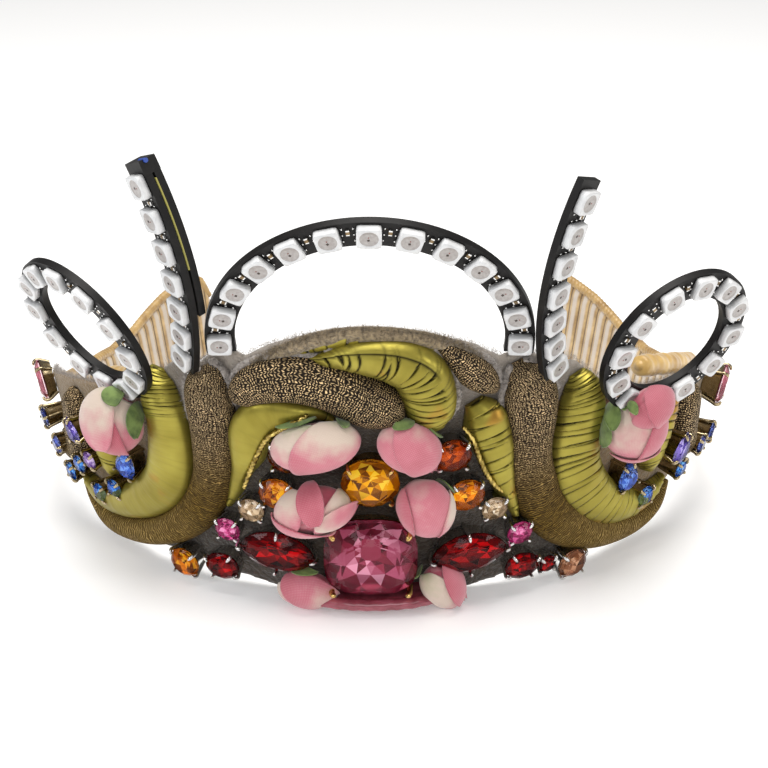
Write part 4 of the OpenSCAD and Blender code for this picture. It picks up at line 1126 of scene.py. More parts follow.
foot = on_wall(math.degrees(math.asin(arch_radius / (ring_right + 0.2 * front_height))), arch_up, arch_out)
arch_frame = in_plane((0, foot.y, foot.z), 0, arch_lean)
arch_step = 180 / (arch_modules - 1)
spike_step = math.degrees(spike_pitch / spike_radius)
loop_step = 360 / loop_modules
flip = Matrix.Diagonal((-1, 1, 1, 1))


def spike_frame(row, turn):
    """The place of something on a spike, at an angle round the spike's centre."""
    slant = math.radians(row[6])
    centre = shifted_by(-spike_radius * math.cos(slant), spike_radius * math.sin(slant))
    base = in_plane(on_wall(*row[1:4]), row[4], row[5])
    local = centre @ turned(turn - row[6], "Z") @ shifted_by(spike_radius)
    return base @ flip @ local @ flip if row[0] == "right" else base @ local


def ring_place(frame_of_ring, turn, radius):
    """A place on a ring, at an angle round it."""
    return frame_of_ring @ turned(turn, "Z") @ shifted_by(radius)


def loop_places(shift):
    """The places along both loops, from their first module on by a share of a step."""
    return [ring_place(in_plane(on_wall(*row[1:4]), row[4], row[5]), row[6] + (k + shift) * loop_step,
                       loop_radius) for row in LOOPS for k in range(loop_modules)]


module_places = {
    "arch_lights": [ring_place(arch_frame, k * arch_step, arch_radius) for k in range(arch_modules)],
    "spike_lights": [spike_frame(row, k * spike_step) for row in SPIKES for k in range(spike_modules)],
    "loop_lights": loop_places(0),
}
for lights_name, places in module_places.items():
    lifted = [place @ shifted_by(0, 0, board_thick + module_lift) for place in places]
    dressed(joined_copies(lights_name + "_detailed", module, lifted), None, "light_module", lights_name)
bpy.data.objects.remove(module)


# Boards
# The black boards under the modules, with solder dots beside each module and a small bronze
# capacitor between two of them. The left spike is folded over, with a yellow tape in its fold.
dot_width = 0.00052
part_long = 0.0014
part_wide = 0.0008
part_thick = 0.0006
part_aside = 0.0009
dot_spacing = 0.0016
tape_from_to = (3.4, 6.1)
wire_at = 6.62
wire_thick = 0.001
wire_long = 0.0026
wire_shift = (0.0022, 0, 0.0002)
arch_dots = 0.00115
spike_dots = 0.00075
loop_dots = 0.00105
part_cap = 0.28
TAPE_EDGES = [(-0.0028, -0.0001), (0.0033, -0.0001), (0.0033, -0.0004), (-0.0028, -0.0004)]
board_black = (0.004, 0.0035, 0.0035)
board_grey = (0.010, 0.009, 0.0085)
bronze = (0.30, 0.20, 0.085)
bronze_dark = (0.12, 0.08, 0.04)
tape_yellow = (0.34, 0.31, 0.07)
wire_blue = (0.01, 0.05, 0.30)
board_paint = two_toned("board_black", 220.0, (board_black, board_grey), 0.5, levels=(0.4, 0.75),
                        detail=3.0, relief=(0.00006, 0.5), Specular_IOR_Level=0.25)
for board_name in ("arch_board", "spike_board_left", "spike_board_right", "loop_board_left",
                   "loop_board_right"):
    nodes[board_name].data.materials.clear()
    nodes[board_name].data.materials.append(board_paint)

dot = added(bpy.ops.mesh.primitive_uv_sphere_add, segments=10, ring_count=6, radius=dot_width / 2)
dot.scale = (1, 0.8, 0.7)
bpy.ops.object.transform_apply(scale=True)
bpy.ops.object.shade_smooth()
dot.data.materials.append(solder)

bronze_paint = two_toned("bronze", 900.0, (bronze_dark, bronze), 0.4, 0.3)
part = added(bpy.ops.mesh.primitive_cube_add, size=1, scale=(part_long, part_wide, part_thick),
             location=(0, 0, part_thick / 2))
bpy.ops.object.transform_apply(location=True, scale=True)
bpy.ops.object.mode_set(mode="EDIT")
bpy.ops.mesh.select_all(action="SELECT")
bpy.ops.mesh.bevel(offset=0.00008, segments=2)
for cut_place in (-part_cap, part_cap):
    bpy.ops.mesh.select_all(action="SELECT")
    bpy.ops.mesh.bisect(plane_co=(cut_place * part_long, 0, 0), plane_no=(1, 0, 0))
bpy.ops.object.mode_set(mode="OBJECT")
part.data.materials.append(bronze_paint)
part.data.materials.append(solder)
for face in part.data.polygons:
    face.material_index = int(abs(face.center.x) > part_cap * part_long)

arch_gaps = [ring_place(arch_frame, (k + 0.5) * arch_step, arch_radius) for k in range(arch_modules - 1)]
spike_gaps = [spike_frame(row, (k - 0.5) * spike_step) for row in SPIKES for k in range(spike_modules)]
dot_places = []
part_places = []
for places, reach in ((arch_gaps, arch_dots), (spike_gaps, spike_dots), (loop_places(0.5), loop_dots)):
    for place in places:
        for x in (-dot_spacing, 0.0, dot_spacing):
            for y in (-reach, reach):
                dot_places.append(place @ shifted_by(x, y, board_thick + dot_width * 0.2))
        part_places.append(place @ shifted_by(part_aside, 0, board_thick + 0.00001))
dressed(joined_copies("solder_dots", dot, dot_places), None, "light_module")
dressed(joined_copies("capacitors", part, part_places), None, "light_module")
bpy.data.objects.remove(dot)
bpy.data.objects.remove(part)

# The tape that shows in the fold of the left spike, and the cut end of a wire above it
tape_paint, _, _ = finish_of("tape_yellow", tape_yellow, 0.5)
wire_paint, _, _ = finish_of("wire_blue", wire_blue, 0.4)
tape_rings = []
for turn in np.linspace(*tape_from_to, 12):
    tape_frame = spike_frame(SPIKES[0], float(turn) * spike_step)
    tape_rings.append([tape_frame @ Vector((x, 0, z)) for x, z in TAPE_EDGES])
dressed(shells("fold_tape", [np.array(tape_rings, float)], False), tape_paint, "board")
stub = added(bpy.ops.mesh.primitive_cylinder_add, vertices=16, radius=wire_thick / 2, depth=wire_long,
             rotation=(0, math.radians(90), 0))
stub.name = "wire_end"
bpy.ops.object.transform_apply(rotation=True)
bpy.ops.object.shade_smooth_by_angle(angle=math.radians(40))
stub.data.transform(spike_frame(SPIKES[0], wire_at * spike_step) @ shifted_by(*wire_shift))
dressed(stub, wire_paint, "board")


# Claw settings
# Every stone sits in a cast cup with four bent claws, gold for the two middle ones, silver
# round them and copper at the sides, soldered to small plates and sewn through the felt.
cushion_width = 0.0205
citrine_width = 0.0126
amber_width = 0.0082
champagne_width = 0.006
pink_width = 0.006
ruby_length = 0.0084
pear_length = 0.0084
blue_width = 0.0044
end_oval_length = 0.011
claw_thick = 0.0008
table_up = 0.17
KINDS = {
    # cut, length, width
    "cushion": ("cushion", cushion_width, cushion_width),
    "citrine": ("round", citrine_width, citrine_width),
    "amber": ("round", amber_width, amber_width),
    "end": ("round", amber_width * 0.92, amber_width * 0.92),
    "champagne": ("round", champagne_width, champagne_width),
    "navette": ("navette", 0.017, 0.0105),
    "pink": ("round", pink_width, pink_width),
    "ruby": ("oval", ruby_length, ruby_length * 0.85),
    "pear": ("pear", pear_length, pear_length * 0.72),
    "small pear": ("pear", pear_length * 0.82, pear_length * 0.58),
    "small": ("round", blue_width, blue_width),
    "medium": ("round", blue_width * 1.1, blue_width * 1.1),
    "large": ("round", blue_width * 1.2, blue_width * 1.2),
    "small oval": ("oval", blue_width * 1.2, blue_width),
    "end oval": ("oval", end_oval_length, end_oval_length * 0.62),
}
STONES = [
    # name, kind, angle, height, stand-off, turn, slot
    ("stone_cushion", "cushion", 0, 0.217, 1.3, 0, "rose_stone"),
    ("stone_citrine", "citrine", 0, 0.5, 1.1, 0, "citrine"),
    ("stone_dark_amber_left", "amber", -11.9, 0.578, 0.95, 0, "dark_amber"),
    ("stone_dark_amber_right", "amber", 11.2, 0.585, 0.95, 0, "dark_amber"),
    ("stone_amber_left", "amber", -13.8, 0.433, 0.95, 0, "amber"),
    ("stone_amber_right", "amber", 13.6, 0.43, 0.95, 0, "amber"),
    ("stone_champagne_left", "champagne", -18.3, 0.352, 0.85, 0, "champagne"),
    ("stone_champagne_right", "champagne", 18.2, 0.36, 0.85, 0, "champagne"),
    ("stone_navette_left", "navette", -14.5, 0.21, 1.1, -6, "red_stone"),
    ("stone_navette_right", "navette", 14.6, 0.205, 1.1, 6, "red_stone"),
    ("stone_pink_left", "pink", -22.8, 0.258, 0.85, 0, "pink_stone"),
    ("stone_pink_right", "pink", 22.8, 0.245, 0.85, 0, "pink_stone"),
    ("stone_ruby_left", "ruby", -24.6, 0.105, 0.95, 12, "red_stone"),
    ("stone_ruby_right", "ruby", 23.8, 0.11, 0.95, -12, "red_stone"),
    ("stone_end_left", "end", -32, 0.078, 0.95, 0, "amber"),
    ("stone_end_right", "end", 33.4, 0.065, 0.95, 0, "brown_stone"),
    ("stone_small_red", "small", 28.8, 0.085, 0.8, 0, "red_stone"),
]
SIDE_STONES = {
    # tone, kind, angle, height, stand-off, turn
    "left": [
        ("blue_pear", "pear", -40.8, 0.41, 0.95, 70), ("azure", "medium", -50.6, 0.218, 0.9, 0),
        ("azure", "medium", -45.6, 0.275, 0.9, 0), ("purple", "small pear", -52.7, 0.452, 1.2, 110),
        ("lilac", "small", -50.4, 0.352, 1.05, 0), ("azure", "small", -54.7, 0.3, 1.05, 0),
        ("azure", "small", -59.6, 0.228, 1.05, 0), ("navy", "small oval", -63.4, 0.3, 1.1, 50),
        ("navy", "small oval", -67.6, 0.37, 1.1, 60), ("pink_oval", "end oval", -73.5, 0.455, 0.6, 90),
    ],
    "right": [
        ("blue_pear", "pear", 41.8, 0.355, 0.95, 105), ("azure", "large", 47.6, 0.23, 0.95, 0),
        ("purple", "pear", 54.2, 0.37, 1.2, 75), ("azure", "small", 57.2, 0.26, 1.05, 0),
        ("navy", "small", 64.5, 0.29, 1.1, 0), ("navy", "small oval", 72, 0.27, 1.1, 50),
        ("pink_oval", "end oval", 73.5, 0.44, 0.95, 90),
    ],
}
CUP_RINGS = [
    # reach as a share of the stone, depth as a share of its width, and further down
    (0.86, 0.16, 0.0002), (0.985, 0.06, 0.0001), (0.93, 0.065, 0.0001), (0.5, 0.21, 0.0001),
]


def seat(angle, height, off, spin=0):
    """The frame of something on the wall: x to the side, y up and z out of the wall."""
    radians = math.radians(angle)
    side = ring_left if angle < 0 else ring_right
    turn = math.degrees(math.atan2(math.sin(radians) * ring_front, math.cos(radians) * side))
    return (Matrix.Translation(on_wall(angle, height, off)) @ turned(turn, "Z")
            @ turned(math.degrees(math.atan(flare)), "X") @ turned(90, "X") @ turned(spin, "Z"))


def outline(cut, length, width, turns):
    """Points on the outline of a cut, at the given turns in degrees."""
    a = np.radians(turns)
    c = np.cos(a)
    s = np.sin(a)
    if cut == "cushion":
        r = (np.abs(c) ** 3.2 + np.abs(s) ** 3.2) ** (-1 / 3.2)
        return np.stack([length / 2 * c * r, width / 2 * s * r], -1)
    if cut == "navette":
        return np.stack([length / 2 * c, width / 2 * s * np.abs(s) ** 0.3], -1)
    if cut == "pear":
        return np.stack([length / 2 * c, width / 2 * 1.2 * s * np.abs(np.sin(a / 2)) ** 0.8], -1)
    return np.stack([length / 2 * c, width / 2 * s], -1)


def placed(points, frame_of_points):
    """An array of points moved by a matrix."""
    shape = points.shape
    flat = np.column_stack([points.reshape(-1, 3), np.ones(points.size // 3)])
    return (flat @ np.array(frame_of_points).T)[:, :3].reshape(shape)


def rounded_claw(path, thick):
    """A bent claw as rings round a path in its own plane, with a rounded tip."""
    path = smooth_rows(path, np.linspace(0, 1, 14))
    run = np.gradient(path, axis=0)
    run /= np.linalg.norm(run, axis=1, keepdims=True)
    sizes = thick / 2 * np.concatenate([np.linspace(1.15, 1.0, 11), [0.95, 0.75, 0.35]])
    rings = []
    for point, way, size in zip(path, run, sizes):
        turns = np.radians(np.arange(0, 360, 36))
        rings.append(np.stack([point[0] - way[1] * size * np.cos(turns), size * np.sin(turns),
                               point[1] + way[0] * size * np.cos(turns)], -1))
    return np.array(rings)


def setting_of(row):
    """The cup and the four claws of one stone, as lists of rings."""
    _, kind, angle, height, off, spin = row[:6]
    cut, length, width = KINDS[kind]
    frame_of_stone = seat(angle, height, off, spin)
    drop = off * pad_height - pad_gap
    turns = np.arange(0, 360, 10)
    cup = []
    for reach, level in [(0.72, -drop)] + [(r, -share * width - more) for r, share, more in CUP_RINGS]:
        flat = outline(cut, length * reach, width * reach, turns)
        cup.append(np.column_stack([flat, np.full(len(flat), max(level, -drop))]))
    solids = [placed(np.array(cup), frame_of_stone)]
    for claw_turn in (0, 90, 180, 270) if cut == "navette" else (45, 135, 225, 315):
        rim = outline(cut, length, width, np.array([float(claw_turn)]))[0]
        reach = float(np.hypot(*rim))
        path = [(reach * 0.8, -drop), (reach + claw_thick * 0.2, -0.1 * width - 0.0003),
                (reach + claw_thick * 0.62, 0.0), (reach + claw_thick * 0.3, width * table_up * 0.62),
                (reach - claw_thick * 0.75, width * table_up * 0.95)]
        way = math.degrees(math.atan2(rim[1], rim[0]))
        thick = claw_thick * (1.7 if cut == "cushion" else 1.0)
        solids.append(placed(rounded_claw(path, thick), frame_of_stone @ turned(way, "Z")))
    return solids


METALS = {
    "gold": ((0.72, 0.50, 0.18), (0.40, 0.25, 0.07)), "silver": ((0.72, 0.72, 0.71), (0.33, 0.32, 0.31)),
    "copper": ((0.44, 0.36, 0.22), (0.15, 0.11, 0.055)),
}
metal_rows = {
    "gold": STONES[:2], "silver": STONES[2:], "copper": SIDE_STONES["left"] + SIDE_STONES["right"],
}
for metal, (bright, dull) in METALS.items():
    plate = two_toned(metal + "_plate", 350.0, (dull, bright), 0.22, 1.0, levels=(0.25, 0.55),
                      gloss=(0.4, 0.18))
    claws = shells("claws_" + metal, [solid for row in metal_rows[metal] for solid in setting_of(row)])
    dressed(claws, plate, metal + "_claws", "settings_" + metal)


# Cut stones
# Foil-backed glass: a clear tinted crown over facets that are silvered behind, each one painted its own
# lighter or darker tone of the stone's colour as painted light and shade. All of them have a table, a crown,
# a girdle and a faceted foot.
glass_bend = 1.24
girdle_down = 0.04
foot_down = 0.2
table_wide = 0.62
girdle_shade_share = 0.45
front_tone = 0.7
facet_shading_spread = (0.75, 0.8)
TONES = {
    # slot: tint of the glass, then the facets' tones from dark to light, painted shade to painted highlight
    "rose_stone": ((0.84, 0.52, 0.62), (0.07, 0.004, 0.012), (0.32, 0.03, 0.07), (0.52, 0.15, 0.25),
                   (1.0, 0.66, 0.78)),
    "citrine": ((0.97, 0.74, 0.15), (0.10, 0.018, 0.0), (0.60, 0.25, 0.002), (1.0, 0.58, 0.008),
                (1.0, 0.92, 0.25)),
    "dark_amber": ((0.95, 0.40, 0.09), (0.04, 0.005, 0.001), (0.20, 0.032, 0.001), (0.38, 0.085, 0.002),
                   (0.80, 0.27, 0.015)),
    "amber": ((1.0, 0.62, 0.12), (0.07, 0.01, 0.0), (0.50, 0.15, 0.001), (0.95, 0.40, 0.004),
              (1.0, 0.82, 0.14)),
    "champagne": ((1.0, 0.93, 0.82), (0.12, 0.07, 0.03), (0.50, 0.36, 0.22), (0.80, 0.66, 0.48),
                  (1.0, 0.97, 0.90)),
    "red_stone": ((0.66, 0.06, 0.08), (0.006, 0.0005, 0.001), (0.14, 0.001, 0.002), (0.36, 0.003, 0.006),
                  (1.0, 0.02, 0.03)),
    "pink_stone": ((1.0, 0.60, 0.80), (0.12, 0.008, 0.05), (0.55, 0.04, 0.22), (0.80, 0.18, 0.45),
                   (1.0, 0.65, 0.85)),
    "brown_stone": ((1.0, 0.78, 0.60), (0.05, 0.015, 0.008), (0.25, 0.10, 0.05), (0.45, 0.22, 0.12),
                    (0.85, 0.60, 0.45)),
    "blue_pear": ((0.50, 0.66, 1.0), (0.006, 0.012, 0.08), (0.025, 0.07, 0.34), (0.08, 0.20, 0.62),
                  (0.45, 0.70, 1.0)),
    "azure": ((0.48, 0.74, 1.0), (0.003, 0.02, 0.14), (0.008, 0.10, 0.50), (0.03, 0.27, 0.78),
              (0.40, 0.75, 1.0)),
    "purple": ((0.80, 0.74, 1.0), (0.02, 0.012, 0.09), (0.10, 0.06, 0.36), (0.28, 0.20, 0.60),
               (0.80, 0.75, 1.0)),
    "lilac": ((0.92, 0.80, 1.0), (0.08, 0.03, 0.16), (0.32, 0.18, 0.55), (0.55, 0.40, 0.78),
              (0.95, 0.88, 1.0)),
    "navy": ((0.65, 0.72, 1.0), (0.004, 0.006, 0.05), (0.02, 0.03, 0.22), (0.06, 0.10, 0.45),
             (0.45, 0.60, 0.95)),
    "pink_oval": ((1.0, 0.80, 0.84), (0.14, 0.015, 0.03), (0.50, 0.13, 0.19), (0.78, 0.35, 0.42),
                  (1.0, 0.78, 0.82)),
}


def ramp_of(value, stops):
    """A colour ramp through (place, colour) stops, of which the last is at its end."""
    made = add(value.id_data, "ShaderNodeValToRGB", Fac=value)
    elements = made.color_ramp.elements
    for place, colour in stops[:-1]:
        stop = elements.new(place) if place else elements[0]
        stop.color = (*colour, 1)
    elements[-1].color = (*stops[-1][1], 1)
    return made.outputs["Color"]


glass_of = {}
mirror_of = {}
for tone_name, (tint, dark, deep, main, light) in TONES.items():
    glass_of[tone_name], _, _ = finish_of(tone_name + "_glass", tint, 0.0, Transmission_Weight=1.0,
                                          IOR=glass_bend)
    mirror, mirror_tree, mirror_shader = finish_of(tone_name + "_mirror", main, 0.2, 0.45)
    tone = add(mirror_tree, "ShaderNodeAttribute", attribute_name="tone").outputs["Fac"]
    feed(mirror_shader.inputs["Base Color"],
         ramp_of(tone, ((0.0, dark), (0.35, deep), (0.7, main), (1.0, light))))
    mirror_of[tone_name] = mirror


def cut_stone(name, row, tone_name, seed, sides=16):
    """A brilliant cut stone as a closed mesh; the facets behind take seeded tones of painted light and
    shade.
    """
    _, kind, angle, height, off, spin = row[:6]
    cut, length, width = KINDS[kind]
    step = 360 / sides
    whole = np.arange(sides) * step
    odd = whole[1::2]
    even = whole[0::2]

    def level(reach, turns, z):
        """A ring of corners at a share of the outline and of the width."""
        flat = outline(cut, length * reach, width * reach, turns)
        return np.column_stack([flat, np.full(len(flat), z * width)])
    inner, tip_wide = (0.34, 0.22) if cut == "cushion" else (0.3, 0.04)
    rows = [level(table_wide, odd, table_up), level(0.84, even, table_up * 0.55), level(1, whole, 0),
            level(1, whole, -girdle_down), level(0.8, odd, -0.1), level(0.56, even, -0.15),
            level(inner, odd, -0.185), level(tip_wide, even, -foot_down)]
    starts = np.cumsum([0] + [len(points) for points in rows])
    table, kite, rim, base, low, mid, foot, tip = starts[:8]
    half = sides // 2
    faces = [tuple(range(half))]
    behind = []
    for k in range(half):
        after = (k + 1) % half
        before = (k - 1) % half
        even_rim = 2 * k
        odd_rim = 2 * k + 1
        next_rim = (2 * k + 2) % sides
        faces += [(table + before, kite + k, table + k), (table + k, kite + k, rim + odd_rim),
                  (table + k, rim + odd_rim, kite + after), (kite + k, rim + even_rim, rim + odd_rim),
                  (kite + after, rim + odd_rim, rim + next_rim)]
        for first, second in ((even_rim, odd_rim), (odd_rim, next_rim)):
            faces.append((rim + first, base + first, base + second, rim + second))
        behind += [(base + even_rim, low + k, base + odd_rim), (base + odd_rim, low + k, base + next_rim),
                   (base + even_rim, low + before, low + k), (low + before, mid + k, low + k),
                   (low + k, mid + k, mid + after), (mid + k, foot + k, mid + after),
                   (mid + after, foot + k, foot + after), (foot + before, tip + k, foot + k),
                   (foot + k, tip + k, tip + after)]
    behind.append(tuple(tip + k for k in range(half)))
    points = placed(np.concatenate(rows), seat(angle, height, off, spin))
    mesh = bpy.data.meshes.new(name)
    mesh.from_pydata(points.tolist(), [], faces + behind)
    mesh.materials.append(glass_of[tone_name])
    mesh.materials.append(mirror_of[tone_name])
    draw = np.random.default_rng(seed)
    tones = np.concatenate([np.full(len(faces), front_tone), draw.beta(*facet_shading_spread, len(behind))])
    # The facets next to the girdle are painted the deepest, as shade
    tones[len(faces):len(faces) + 9 * half].reshape(half, 9)[:, :4] *= girdle_shade_share
    mesh.polygons.foreach_set("material_index", np.array([0] * len(faces) + [1] * len(behind)))
    stone = bpy.data.objects.new(name, mesh)
    bpy.context.collection.objects.link(stone)
    write_values(stone, "tone", tones, "FACE")
    face_outwards(stone)
    return stone


for seed, row in enumerate(STONES):
    facets = 24 if row[1] in ("cushion", "navette") else 16
    dressed(cut_stone(row[0] + "_cut", row, row[6], 100 + seed, facets), None, row[6], row[0])
for side_name, rows in SIDE_STONES.items():
    cluster = joined([cut_stone("side_stone", row, row[0], 200 + seed) for seed, row in enumerate(rows)])
    cluster.name = "side_stones_" + side_name + "_cut"
    dressed(cluster, None, "blue_stone", "side_stones_" + side_name)


# Rosebuds
# Buds of woven cotton, each wrapped from a few petals round a stuffed core. The cloth is dyed
# from cream at the base or the edge to rose pink, and green sepals are glued over the base.
bud_length = 0.017
bud_flatness = 0.92
core_share = 0.97
core_blush = 0.75
petal_curl = 0.5
tail_growth = 5
petal_thick = 0.00028
cream = (0.62, 0.50, 0.41)
petal_pink = (0.56, 0.15, 0.20)
petal_rose = (0.42, 0.06, 0.10)
petal_green = (0.30, 0.36, 0.14)
sepal_light = (0.17, 0.25, 0.06)
sepal_dark = (0.03, 0.06, 0.012)
weave_white = (0.80, 0.66, 0.62)
tail_from = 1.33
tail_curl = 0.7
core_wrap = 1.6
tail_wrap = 1.12
BUDS = [
    # name, angle, height, stand-off, length, width, turn of the long axis
    ("bud_top_left", -7.7, 0.64, 1.2, 1.05, 0.6, 15),
    ("bud_top_right", 4.9, 0.64, 1.25, 0.76, 0.58, -30),
    ("bud_mid_left", -8.1, 0.414, 1.5, 0.95, 0.62, 20),
    ("bud_mid_right", 7.6, 0.42, 1.45, 0.76, 0.64, -70),
    ("bud_low_left", -10.2, 0.08, 1.15, 0.72, 0.46, 5),
    ("bud_low_right", 10.6, 0.095, 1.2, 0.66, 0.5, -60),
    ("bud_side_left", -38.4, 0.612, 1.6, 0.82, 0.74, -70),
    ("bud_side_right", 37.8, 0.598, 1.65, 0.86, 0.8, -80),
    ("bud_side_right_upper", 37.6, 0.69, 2.3, 0.6, 0.5, 30),
]
PETALS = {
    # base and tip as shares of the bud from its centre, half width, skew, bluntness, lap in mm,
    # blush at the base, at the tip and added at the edges
    "bud_top_left": [
        ((-0.25, 1.0), (-0.55, -1.2), 0.75, 0.9, 0.45, 0.1, -0.35, 1.1, 0.1),
        ((0.35, 1.05), (0.5, -1.15), 0.72, 0.95, 0.4, 0.5, -0.2, 1.1, 0.3),
    ],
    "bud_top_right": [
        ((-0.8, 0.9), (-0.2, -1.0), 0.8, 0.8, 0.5, 0.1, 0.3, 0.85, 0.15),
        ((0.1, 1.1), (0.85, -1.35), 0.66, 0.75, 0.65, 0.55, 0.4, 0.9, 0.1),
    ],
    "bud_mid_left": [
        ((0.9, 0.9), (0.55, -1.05), 0.62, 1.0, 0.5, 0.1, -0.2, 0.75, 0.25),
        ((-0.6, 0.9), (-0.85, -0.75), 0.6, 1.1, 0.5, 0.3, -0.1, 0.8, 0.25),
        ((-0.25, 1.25), (0.1, 0.0), 0.24, 0.9, 0.5, 0.75, 0.85, 0.8, -0.1),
        ((-1.05, -0.2), (0.55, -0.95), 0.4, 1.0, 0.5, 0.7, 0.8, 0.1, 0.35),
        ((0.1, -0.1), (1.1, 0.1), 0.36, 1.0, 0.5, 0.5, 0.25, 0.8, -0.1),
    ],
    "bud_mid_right": [
        ((-0.1, 1.15), (-0.3, -0.95), 0.95, 0.8, 0.45, 0.2, 0.4, 0.75, 0.15),
        ((-0.8, 0.7), (-0.6, -1.2), 0.36, 0.9, 0.65, 0.6, 0.7, 0.85, 0.1),
        ((1.1, 0.6), (0.45, -1.3), 0.5, 0.9, 0.6, 0.45, -0.1, 0.65, 0.25),
    ],
    "bud_low_left": [
        ((-0.9, 0.3), (0.3, -1.0), 0.8, 1.0, 0.5, 0.1, 0.1, 0.7, 0.2),
        ((-0.55, 0.95), (1.0, -0.7), 0.55, 0.9, 0.6, 0.5, 0.85, 0.1, 0.15),
    ],
    "bud_low_right": [
        ((-0.7, 0.6), (-0.1, -1.0), 0.85, 1.0, 0.5, 0.1, -0.3, 0.35, 0.25),
        ((0.2, 1.0), (1.15, -0.95), 0.5, 0.9, 0.6, 0.6, 0.75, 0.3, 0.25),
    ],
    "bud_side_left": [
        ((0.8, 0.9), (0.2, -1.1), 0.85, 1.0, 0.45, 0.1, 0.0, 1.0, 0.25),
        ((-0.85, 0.85), (0.0, -1.15), 1.05, 1.0, 0.5, 0.4, 0.45, 1.2, 0.3),
        ((-0.1, 1.1), (0.1, -0.3), 0.5, 0.9, 0.5, 0.65, -0.2, 0.55, 0.1),
    ],
    "bud_side_right": [
        ((-0.8, 0.9), (-0.2, -1.1), 0.85, 1.0, 0.45, 0.1, 0.0, 0.7, 0.25),
        ((0.9, 0.8), (0.25, -1.15), 0.8, 1.0, 0.5, 0.4, 0.4, 0.95, 0.15),
        ((-0.7, -0.75), (0.9, -0.7), 0.35, 1.0, 0.5, 0.8, 0.7, 0.8, -0.3),
    ],
    "bud_side_right_upper": [
        ((-0.9, 0.0), (0.9, -0.2), 0.85, 1.0, 0.5, 0.1, 0.7, 0.95, 0.1),
        ((-0.4, 1.0), (0.8, -0.6), 0.6, 1.0, 0.5, 0.4, 0.6, 0.9, 0.1),
    ],
}
SEPALS = {
    "bud_top_left": [((-0.1, 1.3), (-0.8, 0.72), 0.2), ((0.75, 1.25), (0.45, 0.7), 0.2)],
    "bud_top_right": [((0.3, 1.35), (-0.25, 0.72), 0.24), ((0.8, 1.2), (1.2, 0.3), 0.22)],
    "bud_mid_left": [],
    "bud_mid_right": [((0.9, 1.2), (1.25, 0.3), 0.2)],
    "bud_low_left": [((-0.6, 1.2), (0.3, 0.85), 0.24)],
    "bud_low_right": [((-0.95, 0.9), (-0.85, 0.3), 0.2)],
    "bud_side_left": [((0.1, 1.3), (0.5, 0.65), 0.3), ((1.2, 0.9), (0.85, -0.1), 0.3)],
    "bud_side_right": [((-1.1, 1.0), (-0.85, 0.2), 0.3), ((-1.25, 0.4), (-1.0, -0.5), 0.26),
                       ((-0.6, 1.3), (-0.6, 0.65), 0.22)],
    "bud_side_right_upper": [((-1.1, 0.5), (-0.7, 0.2), 0.2)],
}


def on_core(x, y, size, scale, most):
    """A point of a bud's core by its place in the plane, where 1 is the widest line."""
    polar = np.minimum(np.hypot(x, y), most) * np.pi / 2
    way = np.arctan2(y, x)
    return np.stack([size[0] * np.sin(polar) * np.cos(way) * scale,
                     size[1] * np.sin(polar) * np.sin(way) * scale,
                     size[2] * np.cos(polar) * scale], -1)


def petal(name, size, turn, base, tip, half, skew, blunt, lap, curl, cloth):
    """A petal of a cloth laid on the core from its base to its tip, with turned-up edges."""
    leaf, u, v = grid_sheet(name, 22, 26)
    side = 2 * u - 1
    base = in_axes(base, turn)
    way = np.array(in_axes(tip, turn)) - np.array(base)
    across = np.array([-way[1], way[0]]) / np.hypot(*way)
    wide = half * np.sin(np.pi * (0.03 + 0.95 * v) ** skew) ** blunt
    x = base[0] + way[0] * v + across[0] * wide * side
    y = base[1] + way[1] * v + across[1] * wide * side
    scale = 1 + (lap + 0.35 * np.abs(side) ** 6 * v + curl * v**7) / (size[2] * 1000)
    move_points(leaf, on_core(x, y, size, scale, core_wrap if curl < tail_curl else tail_wrap))
    write_map(leaf, "cloth", x * size[0] * 1000, y * size[1] * 1000)
    leaf.data.materials.append(cloth)
    return leaf, side, v


def in_axes(place, turn):
    """A place given level on the wall, in the axes of a bud that is turned."""
    reach = math.hypot(*place)
    way = math.atan2(place[1], place[0]) - math.radians(turn)
    return reach * math.cos(way), reach * math.sin(way)


def thickened(leaf, thick):
    """Gives a thin sheet its thickness, both faces and a closed rim."""
    only(leaf)
    wall = leaf.modifiers.new("wall", "SOLIDIFY")
    wall.thickness = thick
    wall.offset = -1
    bpy.ops.object.modifier_apply(modifier="wall")
    bpy.ops.object.shade_smooth()


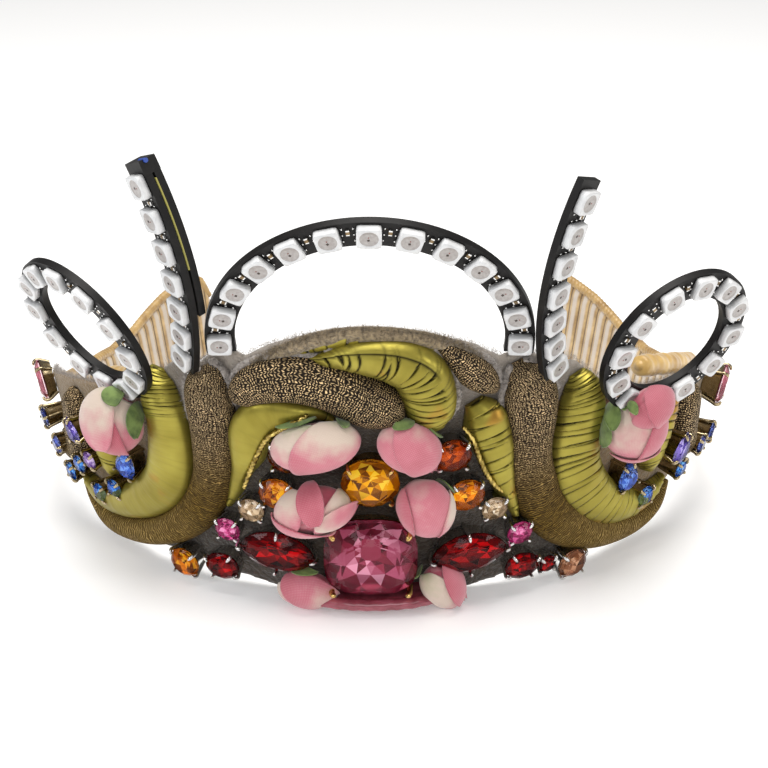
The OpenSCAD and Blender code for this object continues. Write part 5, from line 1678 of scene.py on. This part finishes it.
petal_cloth, petal_tree, petal_shader = finish_of("petal_cloth", petal_pink, 0.8, Sheen_Weight=0.4)
petal_place = add(petal_tree, "ShaderNodeTexCoord").outputs["Object"]
petal_map = add(petal_tree, "ShaderNodeUVMap", uv_map="cloth").outputs["UV"]
blush = add(petal_tree, "ShaderNodeAttribute", attribute_name="blush").outputs["Fac"]
stain = calc("MULTIPLY", calc("SUBTRACT", noise(petal_place, 260.0, 3.0)["Fac"], 0.5), 0.55)
dye = ramp_of(spread(calc("ADD", blush, stain), -0.62, 1.13),
              ((0.0, petal_green), (0.26, cream), (0.42, cream), (0.72, petal_pink), (1.0, petal_rose)))
warp, weft = (add(petal_tree, "ShaderNodeTexWave", Vector=petal_map, Scale=1.5, Distortion=0.6,
                  bands_direction=way).outputs["Fac"] for way in "XY")
woven = calc("MULTIPLY", warp, weft)
feed(petal_shader.inputs["Base Color"],
     blend_colours(spread(woven, 0, 0.6, 0.0, 0.16), dye, weave_white))
emboss(petal_shader, woven, 0.0001, 0.5)
sepal_cloth = two_toned("sepal_cloth", 300.0, (sepal_dark, sepal_light), 0.8, levels=(0.25, 0.6),
                        relief=(0.0001, 0.5), Sheen_Weight=0.3)

for name, angle, height, off, length, wide, turn in BUDS:
    half = bud_length / 2
    size = (length * half, wide * half, wide * half * bud_flatness)
    core = added(bpy.ops.mesh.primitive_uv_sphere_add, segments=40, ring_count=24, radius=1)
    core.scale = [measure * core_share for measure in size]
    bpy.ops.object.transform_apply(scale=True)
    bpy.ops.object.shade_smooth()
    core.data.uv_layers[0].name = "cloth"
    write_values(core, "blush", core_blush)
    core.data.materials.append(petal_cloth)
    bunch = [core]
    for base, tip, half_width, skew, blunt, lap, base_blush, tip_blush, edge_blush in PETALS[name]:
        # A tip that is far out hangs off the bud as a tail
        curl = petal_curl + tail_growth * max(0.0, math.hypot(*tip) - tail_from)
        leaf, side, v = petal(name, size, turn, base, tip, half_width, skew, blunt, lap, curl, petal_cloth)
        write_values(leaf, "blush", base_blush + (tip_blush - base_blush) * v
                     + edge_blush * np.abs(side) ** 3)
        thickened(leaf, petal_thick)
        bunch.append(leaf)
    for base, tip, half_width in SEPALS[name]:
        leaf, _, _ = petal(name, size, turn, base, tip, half_width, 0.8, 0.7, 0.85, 0.6, sepal_cloth)
        write_values(leaf, "blush", 0.0)
        thickened(leaf, petal_thick)
        bunch.append(leaf)
    joined(bunch)
    core.data.transform(seat(angle, height, off, turn))
    core.data.update()
    core.name = name + "_petals"
    dressed(core, None, "petals", name.replace("_upper", ""), fill=0.9)
